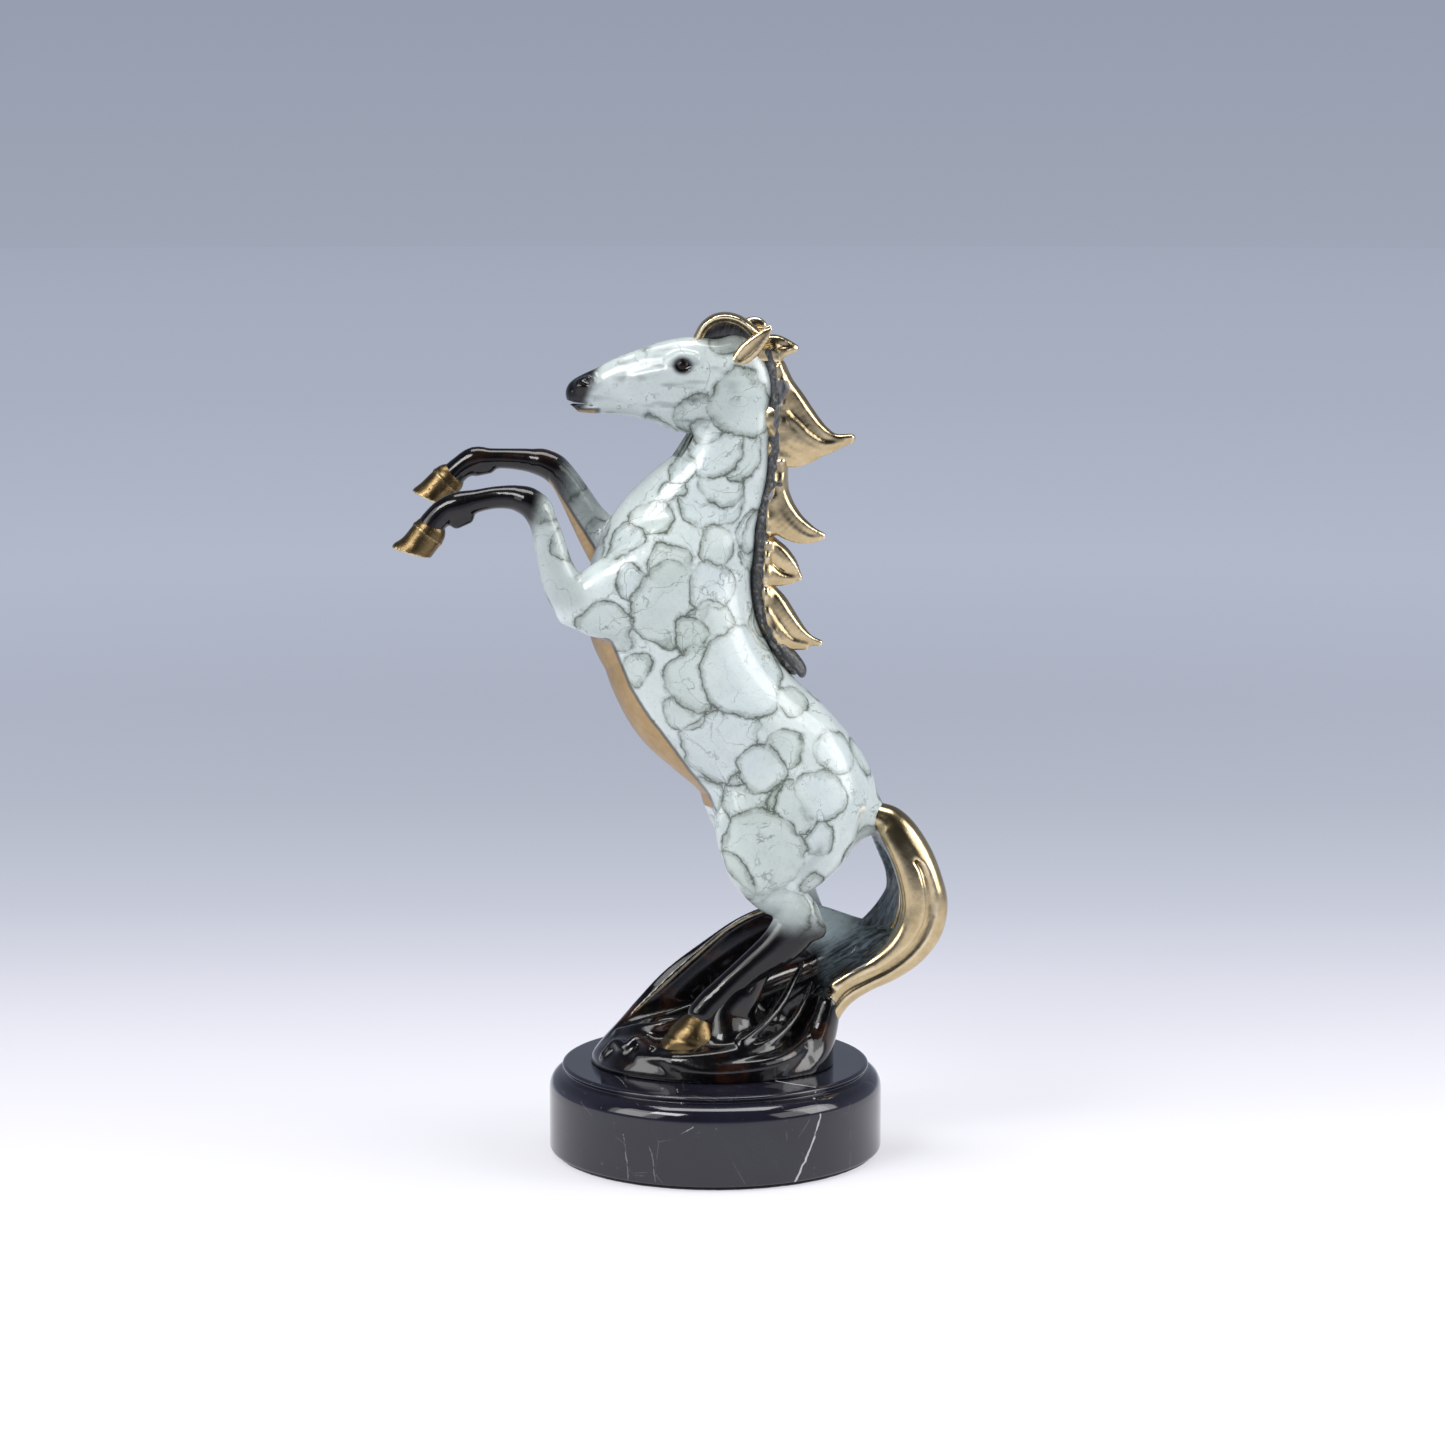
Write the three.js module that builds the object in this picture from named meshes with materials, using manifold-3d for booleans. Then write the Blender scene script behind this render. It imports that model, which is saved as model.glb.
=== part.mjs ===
// Rearing horse in cast bronze, enamelled and part polished, on a turned marble plinth.
// Millimetres. The horse faces -X, its left side is at -Y and Z is up.
// The origin is the middle of the underside.
import * as THREE from "three";
import { ParametricGeometry } from "three/addons/geometries/ParametricGeometry.js";
import { mergeVertices } from "three/addons/utils/BufferGeometryUtils.js";
import Module from "manifold-3d";

const wasm = await Module();
wasm.setup();

// Driving dimensions
const SEAM_GAP = 0.3; // between castings, and round each bolt
const FELT_RADIUS = 60.5;
const FELT_THICK = 1.5;
const PLINTH_RADIUS = 62.5;
const PLINTH_TOP = 34;
const PLINTH_TOP_RADIUS = 57.6;
const BOLT_X = 22; // the two bolts stand this far in front of and behind the middle
const BOLT_Y = -3;
const BOLT_RADIUS = 3;
const BOLT_HEAD_ACROSS = 10;
const BOLT_HEAD_THICK = 4;
const BOLT_TIP = 43;
const WASHER_RADIUS = 7;
const WASHER_THICK = 1.4;
const POCKET_RADIUS = 8.5;
const POCKET_ROOF = 12;
const MOUND_CENTRE = [-1.5, -4];
const MOUND_HALF = [44, 34.5];
const MOUND_FLOOR = PLINTH_TOP + SEAM_GAP;
const MOUND_RISE = 17;
const MOUND_RIM = 2.4;
const MOUND_FOLDS = 5;
const FOLD_HEIGHT = 1.3;
const MOUND_ROWS = 8;
const EYE_RADIUS = 3;

// Colours as bought: pale mint enamel, black enamel, polished bronze, dark patina, marble, felt, zinc
const material = (color, roughness, metalness) =>
  new THREE.MeshStandardMaterial({ color, roughness, metalness });
const ENAMEL = material(0xc9e0dc, 0.2, 0);
const BLACK = material(0x0d0b0e, 0.1, 0);
const BRONZE = material(0xc8a060, 0.3, 1);
const PATINA = material(0x3d3d3f, 0.7, 0.4);
const MARBLE = material(0x17171b, 0.15, 0);
const FELT = material(0x161616, 1, 0);
const STEEL = material(0x9a9da1, 0.4, 1);

// A closed manifold solid from a three.js geometry.
function solid(geometry) {
  geometry.deleteAttribute("normal");
  geometry.deleteAttribute("uv");
  const merged = mergeVertices(geometry, 1e-4);
  const corners = merged.index.array;
  const triangles = [];
  for (let i = 0; i < corners.length; i += 3) {
    const [a, b, c] = corners.subarray(i, i + 3);
    if (a !== b && b !== c && c !== a) triangles.push(a, b, c);
  }
  return new wasm.Manifold(
    new wasm.Mesh({
      numProp: 3,
      vertProperties: new Float32Array(merged.attributes.position.array),
      triVerts: new Uint32Array(triangles),
    }),
  );
}

const joined = (...solids) => solids.reduce((whole, next) => whole.add(next));
const without = (body, ...cutters) => cutters.reduce((left, next) => left.subtract(next), body);
const largest = (body) =>
  body.decompose().reduce((best, next) => (next.volume() > best.volume() ? next : best));

const CAP_ROWS = 2;

// A rounded limb through stations [x, y, z, halfAcross, halfLateral]. halfAcross lies in the upright
// plane of the limb, halfLateral along Y. `grow` fattens it all round, for cutting a neighbour.
function limb(stations, { grow = 0, rows = 2 * (stations.length - 1), around = 12, cap = 0.7 } = {}) {
  const path = new THREE.CatmullRomCurve3(
    stations.map(([x, y, z]) => new THREE.Vector3(x, y, z)), false, "catmullrom");
  const halves = new THREE.CatmullRomCurve3(
    stations.map(([, , , across, lateral]) => new THREE.Vector3(across, lateral, 0)),
    false, "catmullrom");
  const steps = rows + 2 * CAP_ROWS;
  const skin = (u, v, target) => {
    const row = Math.round(u * steps) - CAP_ROWS;
    const t = THREE.MathUtils.clamp(row / rows, 0, 1);
    const beyond = row < 0 ? row : Math.max(0, row - rows);
    const tilt = (beyond / CAP_ROWS) * (Math.PI / 2);
    const half = halves.getPoint(t);
    const tangent = path.getTangent(t);
    const lateral = new THREE.Vector3(0, 1, 0).addScaledVector(tangent, -tangent.y).normalize();
    const across = new THREE.Vector3().crossVectors(tangent, lateral);
    const turn = 2 * Math.PI * v;
    target
      .copy(path.getPoint(t))
      .addScaledVector(tangent, Math.sin(tilt) * (cap * Math.min(half.x, half.y) + grow))
      .addScaledVector(across, (half.x + grow) * Math.cos(tilt) * Math.cos(turn))
      .addScaledVector(lateral, (half.y + grow) * Math.cos(tilt) * Math.sin(turn));
  };
  return solid(new ParametricGeometry(skin, steps, around));
}

// A body turned about Z from [radius, height] pairs listed upwards, closed on the axis.
function turned(profile, segments, [x, y] = [0, 0]) {
  const points = profile.map(([radius, height]) => new THREE.Vector2(radius, height));
  const lathe = new THREE.LatheGeometry(points, segments);
  return solid(lathe.rotateX(Math.PI / 2).translate(x, y, 0));
}

const cylinder = (radius, low, high, centre, segments = 16) =>
  turned([[0, low], [radius, low], [radius, high], [0, high]], segments, centre);

const mirrored = (stations) => stations.map(([x, y, z, a, b]) => [x, -y, z, a, b]);

// Stations of the body masses
const BARREL = [
  [-17, 0, 212, 30.5, 21], [-16.5, 0, 203.6, 31, 22.5], [-13.4, 0, 194.7, 29.8, 24],
  [-10.3, 0, 185.9, 29.8, 25], [-5, 0, 176, 29.7, 25.5], [2.3, 0, 167.5, 28.4, 25],
  [11.8, 0, 158.2, 27.5, 24], [20, 0, 149.6, 28.3, 22.5], [24.8, 0, 139.7, 30, 21.5],
  [26.5, 0, 131.3, 29, 19],
];
const CROUP = [[30, 0, 146, 18, 18], [43, 0, 139, 15, 15], [52, 0, 131.5, 9.5, 10]];
const SHOULDER_LEFT = [
  [-8, -13, 228, 13, 8], [-20, -16, 218, 17, 10], [-32, -16.5, 211.5, 17, 9.5],
  [-44, -15.5, 209.5, 12.5, 8.5],
];
const SHOULDER_RIGHT = [
  [-8, 13, 232, 13, 8], [-20, 16, 226, 15, 9.5], [-31, 16, 224, 13, 9],
  [-38, 15, 225.5, 10, 8],
];
const THIGH_LEFT = [
  [32, -11, 150, 19, 9], [29.5, -13, 141, 23.5, 11.5], [26.5, -15, 130, 27.5, 13],
  [23.5, -16, 120, 22, 12.5], [20.5, -17, 113, 16, 10.8],
];
const NECK = [
  [-16, 0, 212, 29, 19], [-13.5, 0, 228, 27.5, 17.5], [-9, 0, 239.5, 24.5, 15.5],
  [-3.2, 0, 249, 21.3, 13.5], [1.5, 0, 258, 18, 12], [4.5, 0, 266, 15.5, 11],
  [5.8, 0, 274, 14.6, 10], [6, 0, 284, 14, 9.5], [7, 0, 293, 11.5, 8.5], [7.5, 0, 300, 7.5, 6],
];
const HEAD = [
  [7, 0, 288, 14.5, 8.5], [-3, 0, 288.6, 16.6, 10], [-11, 0, 288.8, 16.8, 10.2],
  [-17.5, 0, 289, 15, 9.2], [-25, 0, 288.4, 12.6, 8], [-32.5, 0, 287.4, 10.6, 6.8],
  [-39.5, 0, 286, 8.8, 6.1], [-45.5, 0, 285.3, 7.1, 6], [-50.2, 0, 284.6, 5, 4.8],
];
const FORELEG_LEFT = [
  [-46, -15.5, 208.8, 11.5, 8.5], [-52, -16, 210, 9.8, 8.3], [-56.6, -16, 215.5, 8, 7.5],
  [-58.8, -16, 222.8, 6.6, 6.4], [-60.5, -16, 230.7, 5.8, 5.6], [-62.3, -16, 238.2, 5.2, 5],
  [-65.7, -16, 245, 5, 4.9], [-71.4, -15.7, 247.8, 4.6, 4.7], [-79.1, -15.3, 248, 3.9, 3.8],
  [-87, -15, 246.6, 3.8, 3.6], [-93.5, -15, 244.4, 5, 4.3], [-98.7, -15, 241.4, 4.8, 4.3],
  [-102.5, -15, 238, 5.2, 4.9],
];
const FORE_HOOF_LEFT = [
  [-103.6, -15, 236.6, 5.4, 5.2], [-106.5, -15, 233, 5.9, 5.8], [-109.4, -15, 229.2, 6.3, 6.3],
];
const FORELEG_RIGHT = [
  [-35, 14.5, 223, 11, 8], [-41, 14.5, 229, 8.4, 7.6], [-47, 15, 236.8, 6.6, 6.4],
  [-52.1, 15, 245.6, 5.8, 5.6], [-57, 15, 253.6, 5.2, 5], [-61.5, 15, 257.6, 4.8, 4.8],
  [-68.8, 15, 259, 4.3, 4.4], [-76.8, 15, 259.7, 3.8, 3.8], [-83.9, 15, 259.7, 4, 3.8],
  [-89.5, 15, 259, 4.8, 4.3], [-95, 15, 256.2, 4.7, 4.3], [-98.4, 15, 253.6, 5, 4.8],
];
const FORE_HOOF_RIGHT = [
  [-99, 15, 252.9, 5.1, 5.2], [-102.8, 15, 250, 5.5, 5.7], [-106.6, 15, 247, 5.8, 6.1],
];
const HIND_LEG_LEFT = [
  [20.5, -17, 112, 16, 10.5], [22.7, -17, 103.4, 10.5, 8.4], [26.9, -17, 98, 7.5, 6.6],
  [30.5, -17, 91, 9.3, 6.4], [24.7, -17.5, 82.3, 7.8, 5.8], [14, -18, 73.6, 6, 5.2],
  [5, -19, 65.8, 5.8, 5], [-1, -20, 60.3, 5.8, 5.2], [-4.6, -20.7, 56, 5.6, 5.4],
];
const HIND_HOOF_LEFT = [[-6, -21, 53, 5.8, 6], [-8.2, -21.6, 49, 7.4, 7.2], [-10, -22, 45, 8.8, 8]];
const HIND_LEG_RIGHT = mirrored(HIND_LEG_LEFT);
const HIND_HOOF_RIGHT = mirrored(HIND_HOOF_LEFT);
const TAIL = [
  [58, 0, 126, 5.5, 6], [64, 0, 124.5, 6.2, 7], [70, 0, 118, 8.2, 9], [75.5, 0, 107.5, 9.2, 10.5],
  [77, 0, 96.5, 9.5, 11.5], [73.5, -1, 84.5, 9.8, 12], [65, -2, 75.5, 9, 12],
  [54.5, -3, 69, 7.6, 12], [46, -4, 61, 7.2, 12], [40.5, -5, 52, 7.5, 11],
];
// Swell of ground that the tail stands on
const TAIL_FOOT = [[42, -5, 54, 6, 9], [38, -5, 46, 8, 14], [32, -5, 38, 9.5, 19]];
// The tail's inner wing sweeps forward between the hind legs as a thin wave and runs out at the front
const WAVE = [
  [62, 7, 80, 8, 4], [50, 8, 79, 9.5, 4], [38, 8.5, 78, 12, 3.8], [23, 8.5, 75.8, 15, 3.6],
  [14, 8.5, 71, 15, 3.6], [-4.2, 8.5, 57.6, 13, 4], [-21, 7, 49, 10, 5], [-32, 3, 41.5, 7, 7],
  [-38.5, 0, 37.5, 4, 6],
];
// Low web of hair and ground between the tail and the left hind leg
const WEB = [[63, 3, 80, 6, 8], [47, 2, 71, 9, 9], [31, 1, 61, 10, 9], [14, 0, 50, 9, 10]];
const MANE_CREST = [
  [20.5, 0, 299, 3, 4.2], [22, 0, 287, 3.4, 5], [22.3, 0, 275, 3.6, 5.2], [21.8, 0, 264, 3.6, 5.2],
  [20.6, 0, 253, 3.6, 5.2], [17.6, 0, 243, 3.6, 5.4], [16.6, 0, 230, 3.4, 5.4],
  [15.8, 0, 215, 3.4, 5.4], [16.6, 0, 204, 3.4, 5.2], [20, 0, 195.5, 3.2, 4.6],
  [24.6, 0, 188, 2.8, 3.8], [29, 0, 182.5, 2, 2.8],
];
const MANE_LOCKS = [
  [[19, 0, 301, 4, 4], [24.5, -0.5, 302.4, 2.7, 2.9], [29.3, -0.5, 301.8, 0.9, 0.9]],
  [[22, 0, 278, 17, 5], [29, -0.5, 273.5, 14, 5.2], [36, -1, 269.6, 7.4, 4],
   [43, -1, 267.9, 3.3, 2.6], [49.6, -1, 268.4, 1.3, 1.3]],
  [[21, 0, 247.5, 13.5, 4.6], [26, -0.5, 242.5, 11, 4.6], [31, -1, 236.8, 6, 3.6],
   [36, -1, 233.4, 2.6, 2.2], [39.3, -1, 232.5, 0.9, 0.9]],
  [[19, 0, 224.5, 6.5, 4.2], [25.5, -0.5, 221.6, 5.6, 3.6], [29.4, -1, 218.8, 2.8, 2.3],
   [31, -1, 217.4, 0.9, 0.9]],
  [[18, 0, 206.5, 9.5, 4.6], [24, -0.5, 202, 9, 4.6], [29.6, -1, 196.8, 5.4, 3.6],
   [34.5, -1, 193.6, 2.3, 2], [37.8, -1, 192.8, 0.9, 0.9]],
  [[24.5, 0, 188.5, 3.4, 3.4], [28.8, -0.5, 186, 3.2, 2.8], [32.2, -0.5, 183.4, 1.2, 1.2]],
];
const FORELOCK = [
  [-5.5, 0, 305.5, 2.2, 3.6], [-2.6, 0, 309.2, 2.6, 4.6], [1.2, 0, 311.4, 2.8, 5],
  [6, 0, 311.4, 2.8, 5], [11, 0, 308.8, 2.8, 4.4], [15.2, 0, 305.2, 2.4, 3.4],
];
const EAR_LEFT = [
  [8, -6.6, 296.6, 2.4, 2], [12.6, -8, 301, 3.4, 1.9], [17, -8.6, 305.6, 2.4, 1.4],
  [20, -8.8, 308.8, 0.8, 0.7],
];
const EYE_LEFT = [-11.8, -7.9, 295.7];
const EYE_RIGHT = [-11.8, 7.9, 295.7];

// The ground: a low dome on an oval footprint whose surface twists in spiral folds. Its rows run from
// the crown out to the top of the rim, down the rim, and back across the flat floor.
function mound() {
  const surface = (u, v, target) => {
    const row = Math.round(u * (MOUND_ROWS + 2));
    const reach = Math.sin((Math.min(1, row / MOUND_ROWS) * Math.PI) / 2);
    const turn = 2 * Math.PI * v;
    const fold = Math.cos(MOUND_FOLDS * turn + 5 * reach) * FOLD_HEIGHT * Math.sin(Math.PI * reach);
    const rise = MOUND_RIM + MOUND_RISE * (1 - reach ** 2.6) + fold;
    const onFloor = row > MOUND_ROWS;
    const spread = row === MOUND_ROWS + 2 ? 0 : reach;
    target.set(
      MOUND_CENTRE[0] + MOUND_HALF[0] * spread * Math.cos(turn),
      MOUND_CENTRE[1] + MOUND_HALF[1] * spread * Math.sin(turn),
      MOUND_FLOOR + (onFloor ? 0 : rise),
    );
  };
  return solid(new ParametricGeometry(surface, MOUND_ROWS + 2, 30));
}

function hexHead(centre, low) {
  const radius = BOLT_HEAD_ACROSS / Math.sqrt(3);
  const outline = new THREE.Shape(
    Array.from({ length: 6 }, (_, i) => new THREE.Vector2(
      radius * Math.cos((i * Math.PI) / 3), radius * Math.sin((i * Math.PI) / 3))));
  const head = new THREE.ExtrudeGeometry(outline, { depth: BOLT_HEAD_THICK, bevelEnabled: false });
  return solid(head.translate(centre[0], centre[1], low));
}

// Castings, each cut back by the ones it is welded to
const torsoLimbs = (grow) =>
  joined(...[BARREL, CROUP, SHOULDER_LEFT, SHOULDER_RIGHT, THIGH_LEFT, mirrored(THIGH_LEFT)]
    .map((stations) => limb(stations, { grow, around: 16 })));
const torso = torsoLimbs(0);
const torsoClear = torsoLimbs(SEAM_GAP).add(torso);
const neckLimb = (grow) => limb(NECK, { grow, rows: 12, around: 16 });
const neck = largest(neckLimb(0).subtract(torsoClear));
const neckClear = neckLimb(SEAM_GAP);
const ball = (centre, radius) =>
  solid(new THREE.SphereGeometry(radius, 12, 8).translate(...centre));
const headLimb = (grow) => limb(HEAD, { grow, rows: 12, around: 14 });
const head = largest(without(
  headLimb(0), neckClear,
  ball(EYE_LEFT, EYE_RADIUS + SEAM_GAP), ball(EYE_RIGHT, EYE_RADIUS + SEAM_GAP)));
const headClear = headLimb(SEAM_GAP);
const bodyClear = joined(torsoClear, neckClear, headClear);

const leg = (stations) => largest(limb(stations).subtract(bodyClear));
const hoofLimb = (stations, grow) => limb(stations, { grow, rows: 3, cap: 0.25 });
const foot = (hoof, stations) =>
  largest(hoofLimb(hoof, 0).subtract(limb(stations, { grow: SEAM_GAP })));

const hair = (stations, grow = 0) => limb(stations, { grow, around: 10, cap: 0.9 });
const crest = largest(hair(MANE_CREST).subtract(bodyClear));
let hairClear = bodyClear.add(hair(MANE_CREST, SEAM_GAP));
const locks = MANE_LOCKS.map((stations) => {
  const lock = largest(hair(stations).subtract(hairClear));
  hairClear = hairClear.add(hair(stations, SEAM_GAP));
  return lock;
});
const forelock = largest(hair(FORELOCK).subtract(hairClear));
const earClear = hairClear.add(hair(FORELOCK, SEAM_GAP));
const ear = (stations) => largest(limb(stations, { around: 10 }).subtract(earClear));
const tail = largest(limb(TAIL, { around: 14 }).subtract(torsoClear));

const legsClear = joined(
  ...[HIND_LEG_LEFT, HIND_LEG_RIGHT].map((stations) => limb(stations, { grow: SEAM_GAP })),
  ...[HIND_HOOF_LEFT, HIND_HOOF_RIGHT].map((hoof) => hoofLimb(hoof, SEAM_GAP)),
  limb(TAIL, { around: 14, grow: SEAM_GAP }));
const boltCentres = [[-BOLT_X, BOLT_Y], [BOLT_X, BOLT_Y]];
const boltHoles = joined(...boltCentres.map((centre) =>
  cylinder(BOLT_RADIUS + SEAM_GAP, 0, BOLT_TIP + SEAM_GAP, centre)));
const aboveFloor = cylinder(PLINTH_RADIUS + 30, MOUND_FLOOR, 150, [0, 0]);
const ground = largest(without(
  joined(mound(), limb(WAVE), limb(WEB), limb(TAIL_FOOT)).intersect(aboveFloor),
  legsClear, torsoClear, boltHoles));

// The plinth: straight side, bead shoulder, small cove and a flat top disc
const plinthLow = FELT_THICK + 0.05;
const plinth = without(
  turned([
    [0, plinthLow], [PLINTH_RADIUS - 0.8, plinthLow], [PLINTH_RADIUS, plinthLow + 0.8],
    [PLINTH_RADIUS, 24.5], [PLINTH_RADIUS - 0.4, 26.6], [PLINTH_RADIUS - 1.5, 28.6],
    [PLINTH_RADIUS - 3.2, 30.1], [PLINTH_RADIUS - 5, 30.8], [PLINTH_RADIUS - 5.6, 31.4],
    [PLINTH_TOP_RADIUS - 0.4, 32.2], [PLINTH_TOP_RADIUS, 33], [PLINTH_TOP_RADIUS - 0.3, 33.7],
    [PLINTH_TOP_RADIUS - 1, PLINTH_TOP], [0, PLINTH_TOP],
  ], 48),
  boltHoles,
  ...boltCentres.map((centre) => cylinder(POCKET_RADIUS, 0, POCKET_ROOF, centre)));
const felt = turned([[0, 0], [FELT_RADIUS, 0], [FELT_RADIUS, FELT_THICK], [0, FELT_THICK]], 48);

const washerTop = POCKET_ROOF - SEAM_GAP / 3;
const headTop = washerTop - WASHER_THICK - SEAM_GAP / 3;
const washer = (centre) => cylinder(WASHER_RADIUS, washerTop - WASHER_THICK, washerTop, centre)
  .subtract(cylinder(BOLT_RADIUS + SEAM_GAP, 0, BOLT_TIP, centre));
const bolt = (centre) =>
  hexHead(centre, headTop - BOLT_HEAD_THICK)
    .add(cylinder(BOLT_RADIUS, headTop - 1, BOLT_TIP, centre));

const group = new THREE.Group();
group.name = "bronze_horse_statue";

function place(name, body, look) {
  const { vertProperties, triVerts } = body.getMesh();
  const geometry = new THREE.BufferGeometry()
    .setAttribute("position", new THREE.BufferAttribute(vertProperties, 3))
    .setIndex(new THREE.BufferAttribute(triVerts, 1));
  geometry.computeVertexNormals();
  const mesh = new THREE.Mesh(geometry, look);
  mesh.name = name;
  group.add(mesh);
}

place("felt_pad", felt, FELT);
place("marble_plinth", plinth, MARBLE);
boltCentres.forEach((centre, i) => {
  const end = i === 0 ? "front" : "rear";
  place(`washer_${end}`, washer(centre), STEEL);
  place(`mounting_bolt_${end}`, bolt(centre), STEEL);
});
place("ground_mound", ground, BLACK);
place("torso", torso, ENAMEL);
place("neck", neck, ENAMEL);
place("head", head, ENAMEL);
place("eye_left", ball(EYE_LEFT, EYE_RADIUS), BLACK);
place("eye_right", ball(EYE_RIGHT, EYE_RADIUS), BLACK);
place("ear_left", ear(EAR_LEFT), BRONZE);
place("ear_right", ear(mirrored(EAR_LEFT)), BRONZE);
place("forelock", forelock, BRONZE);
place("mane_crest", crest, PATINA);
locks.forEach((lock, i) => place(`mane_lock_${i + 1}`, lock, BRONZE));
place("foreleg_left", leg(FORELEG_LEFT), ENAMEL);
place("foreleg_right", leg(FORELEG_RIGHT), BLACK);
place("fore_hoof_left", foot(FORE_HOOF_LEFT, FORELEG_LEFT), BRONZE);
place("fore_hoof_right", foot(FORE_HOOF_RIGHT, FORELEG_RIGHT), BRONZE);
place("hind_leg_left", leg(HIND_LEG_LEFT), ENAMEL);
place("hind_leg_right", leg(HIND_LEG_RIGHT), ENAMEL);
place("hind_hoof_left", foot(HIND_HOOF_LEFT, HIND_LEG_LEFT), BRONZE);
place("hind_hoof_right", foot(HIND_HOOF_RIGHT, HIND_LEG_RIGHT), BRONZE);
place("tail", tail, BRONZE);

export default group;
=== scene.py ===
"""Looks of the rearing horse figurine: sculpted bronze castings, enamel, patina, marble, light and camera.

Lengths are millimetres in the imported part's frame (the horse faces -X, its left side is at -Y, Z is up)
and become metres only when a mesh is made.
"""

import math

import bmesh
import bpy
import mathutils
import numpy as np
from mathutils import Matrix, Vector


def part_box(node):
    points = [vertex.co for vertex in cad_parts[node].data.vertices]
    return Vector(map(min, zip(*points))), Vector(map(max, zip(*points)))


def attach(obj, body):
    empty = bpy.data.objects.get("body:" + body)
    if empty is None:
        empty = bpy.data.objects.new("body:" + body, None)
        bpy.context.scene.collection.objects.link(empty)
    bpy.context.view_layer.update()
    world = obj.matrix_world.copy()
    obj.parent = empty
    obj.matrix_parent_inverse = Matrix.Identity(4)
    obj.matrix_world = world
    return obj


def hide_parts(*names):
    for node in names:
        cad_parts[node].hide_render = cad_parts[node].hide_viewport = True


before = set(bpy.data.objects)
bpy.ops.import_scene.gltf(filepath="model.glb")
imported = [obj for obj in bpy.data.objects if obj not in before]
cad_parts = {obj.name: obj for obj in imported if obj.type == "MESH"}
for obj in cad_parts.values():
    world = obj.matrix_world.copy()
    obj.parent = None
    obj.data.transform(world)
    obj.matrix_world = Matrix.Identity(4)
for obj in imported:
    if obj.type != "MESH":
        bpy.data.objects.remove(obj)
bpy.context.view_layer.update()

MM = 0.001
CELL = 0.6  # the body
BROAD = 0.54  # the ground, which has the largest skin
FINE = 0.45  # the tail and the mane crest
SMALL = 0.35  # hooves, ears, forelock and locks
BLOCK = 12  # cells along a side of one sculpting block
FAR = 9.0  # distances are held to this, and a limb further off is ignored


def cad_box(node):
    """The low and high corners of a CAD node, in millimetres."""
    low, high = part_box(node)
    return 1000 * np.array(low), 1000 * np.array(high)


# ---------------------------------------------------------------- numbers

def smooth(low, high, value):
    """0 below low, 1 above high, with a soft step between; low may be the larger one."""
    t = np.clip((value - low) / (high - low), 0.0, 1.0)
    return t * t * (3.0 - 2.0 * t)


def lattice(i, j, k, seed):
    """A repeatable value from 0 to 1 for each whole-numbered lattice point."""
    h = (i * 374761393 + j * 668265263 + k * 2147483647 + seed * 1274126177) & 0x7FFFFFFF
    h = ((h ^ (h >> 13)) * 1274126177) & 0x7FFFFFFF
    return ((h ^ (h >> 16)) & 0xFFFF) / 65535.0


def noise(points, size, seed=1):
    """Smooth value noise from -1 to 1 whose lumps are about `size` millimetres across."""
    q = points / size
    base = np.floor(q).astype(np.int64)
    f = q - base
    f = f * f * (3.0 - 2.0 * f)
    total = np.zeros(len(points))
    for a in (0, 1):
        for b in (0, 1):
            for c in (0, 1):
                weight = (
                    (f[:, 0] if a else 1 - f[:, 0])
                    * (f[:, 1] if b else 1 - f[:, 1])
                    * (f[:, 2] if c else 1 - f[:, 2])
                )
                total += weight * lattice(base[:, 0] + a, base[:, 1] + b, base[:, 2] + c, seed)
    return 2.0 * total - 1.0


def spline(stations, per=6):
    """Catmull-Rom through the stations, with `per` samples to each span."""
    s = np.asarray(stations, float)
    ends = np.vstack([2 * s[0] - s[1], s, 2 * s[-1] - s[-2]])
    t = np.linspace(0, 1, per, endpoint=False)[:, None]
    rows = []
    for p0, p1, p2, p3 in zip(ends[:-3], ends[1:-2], ends[2:-1], ends[3:]):
        rows.append(0.5 * (2 * p1 + (p2 - p0) * t + (2 * p0 - 5 * p1 + 4 * p2 - p3) * t**2
                           + (3 * p1 - p0 - 3 * p2 + p3) * t**3))
    return np.vstack(rows + [s[-1:]])


def mirrored(stations):
    """The same stations on the other side of the horse."""
    return [[x, -y, z, *rest] for x, y, z, *rest in stations]


# ---------------------------------------------------------------- sculpting by distance

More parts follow.
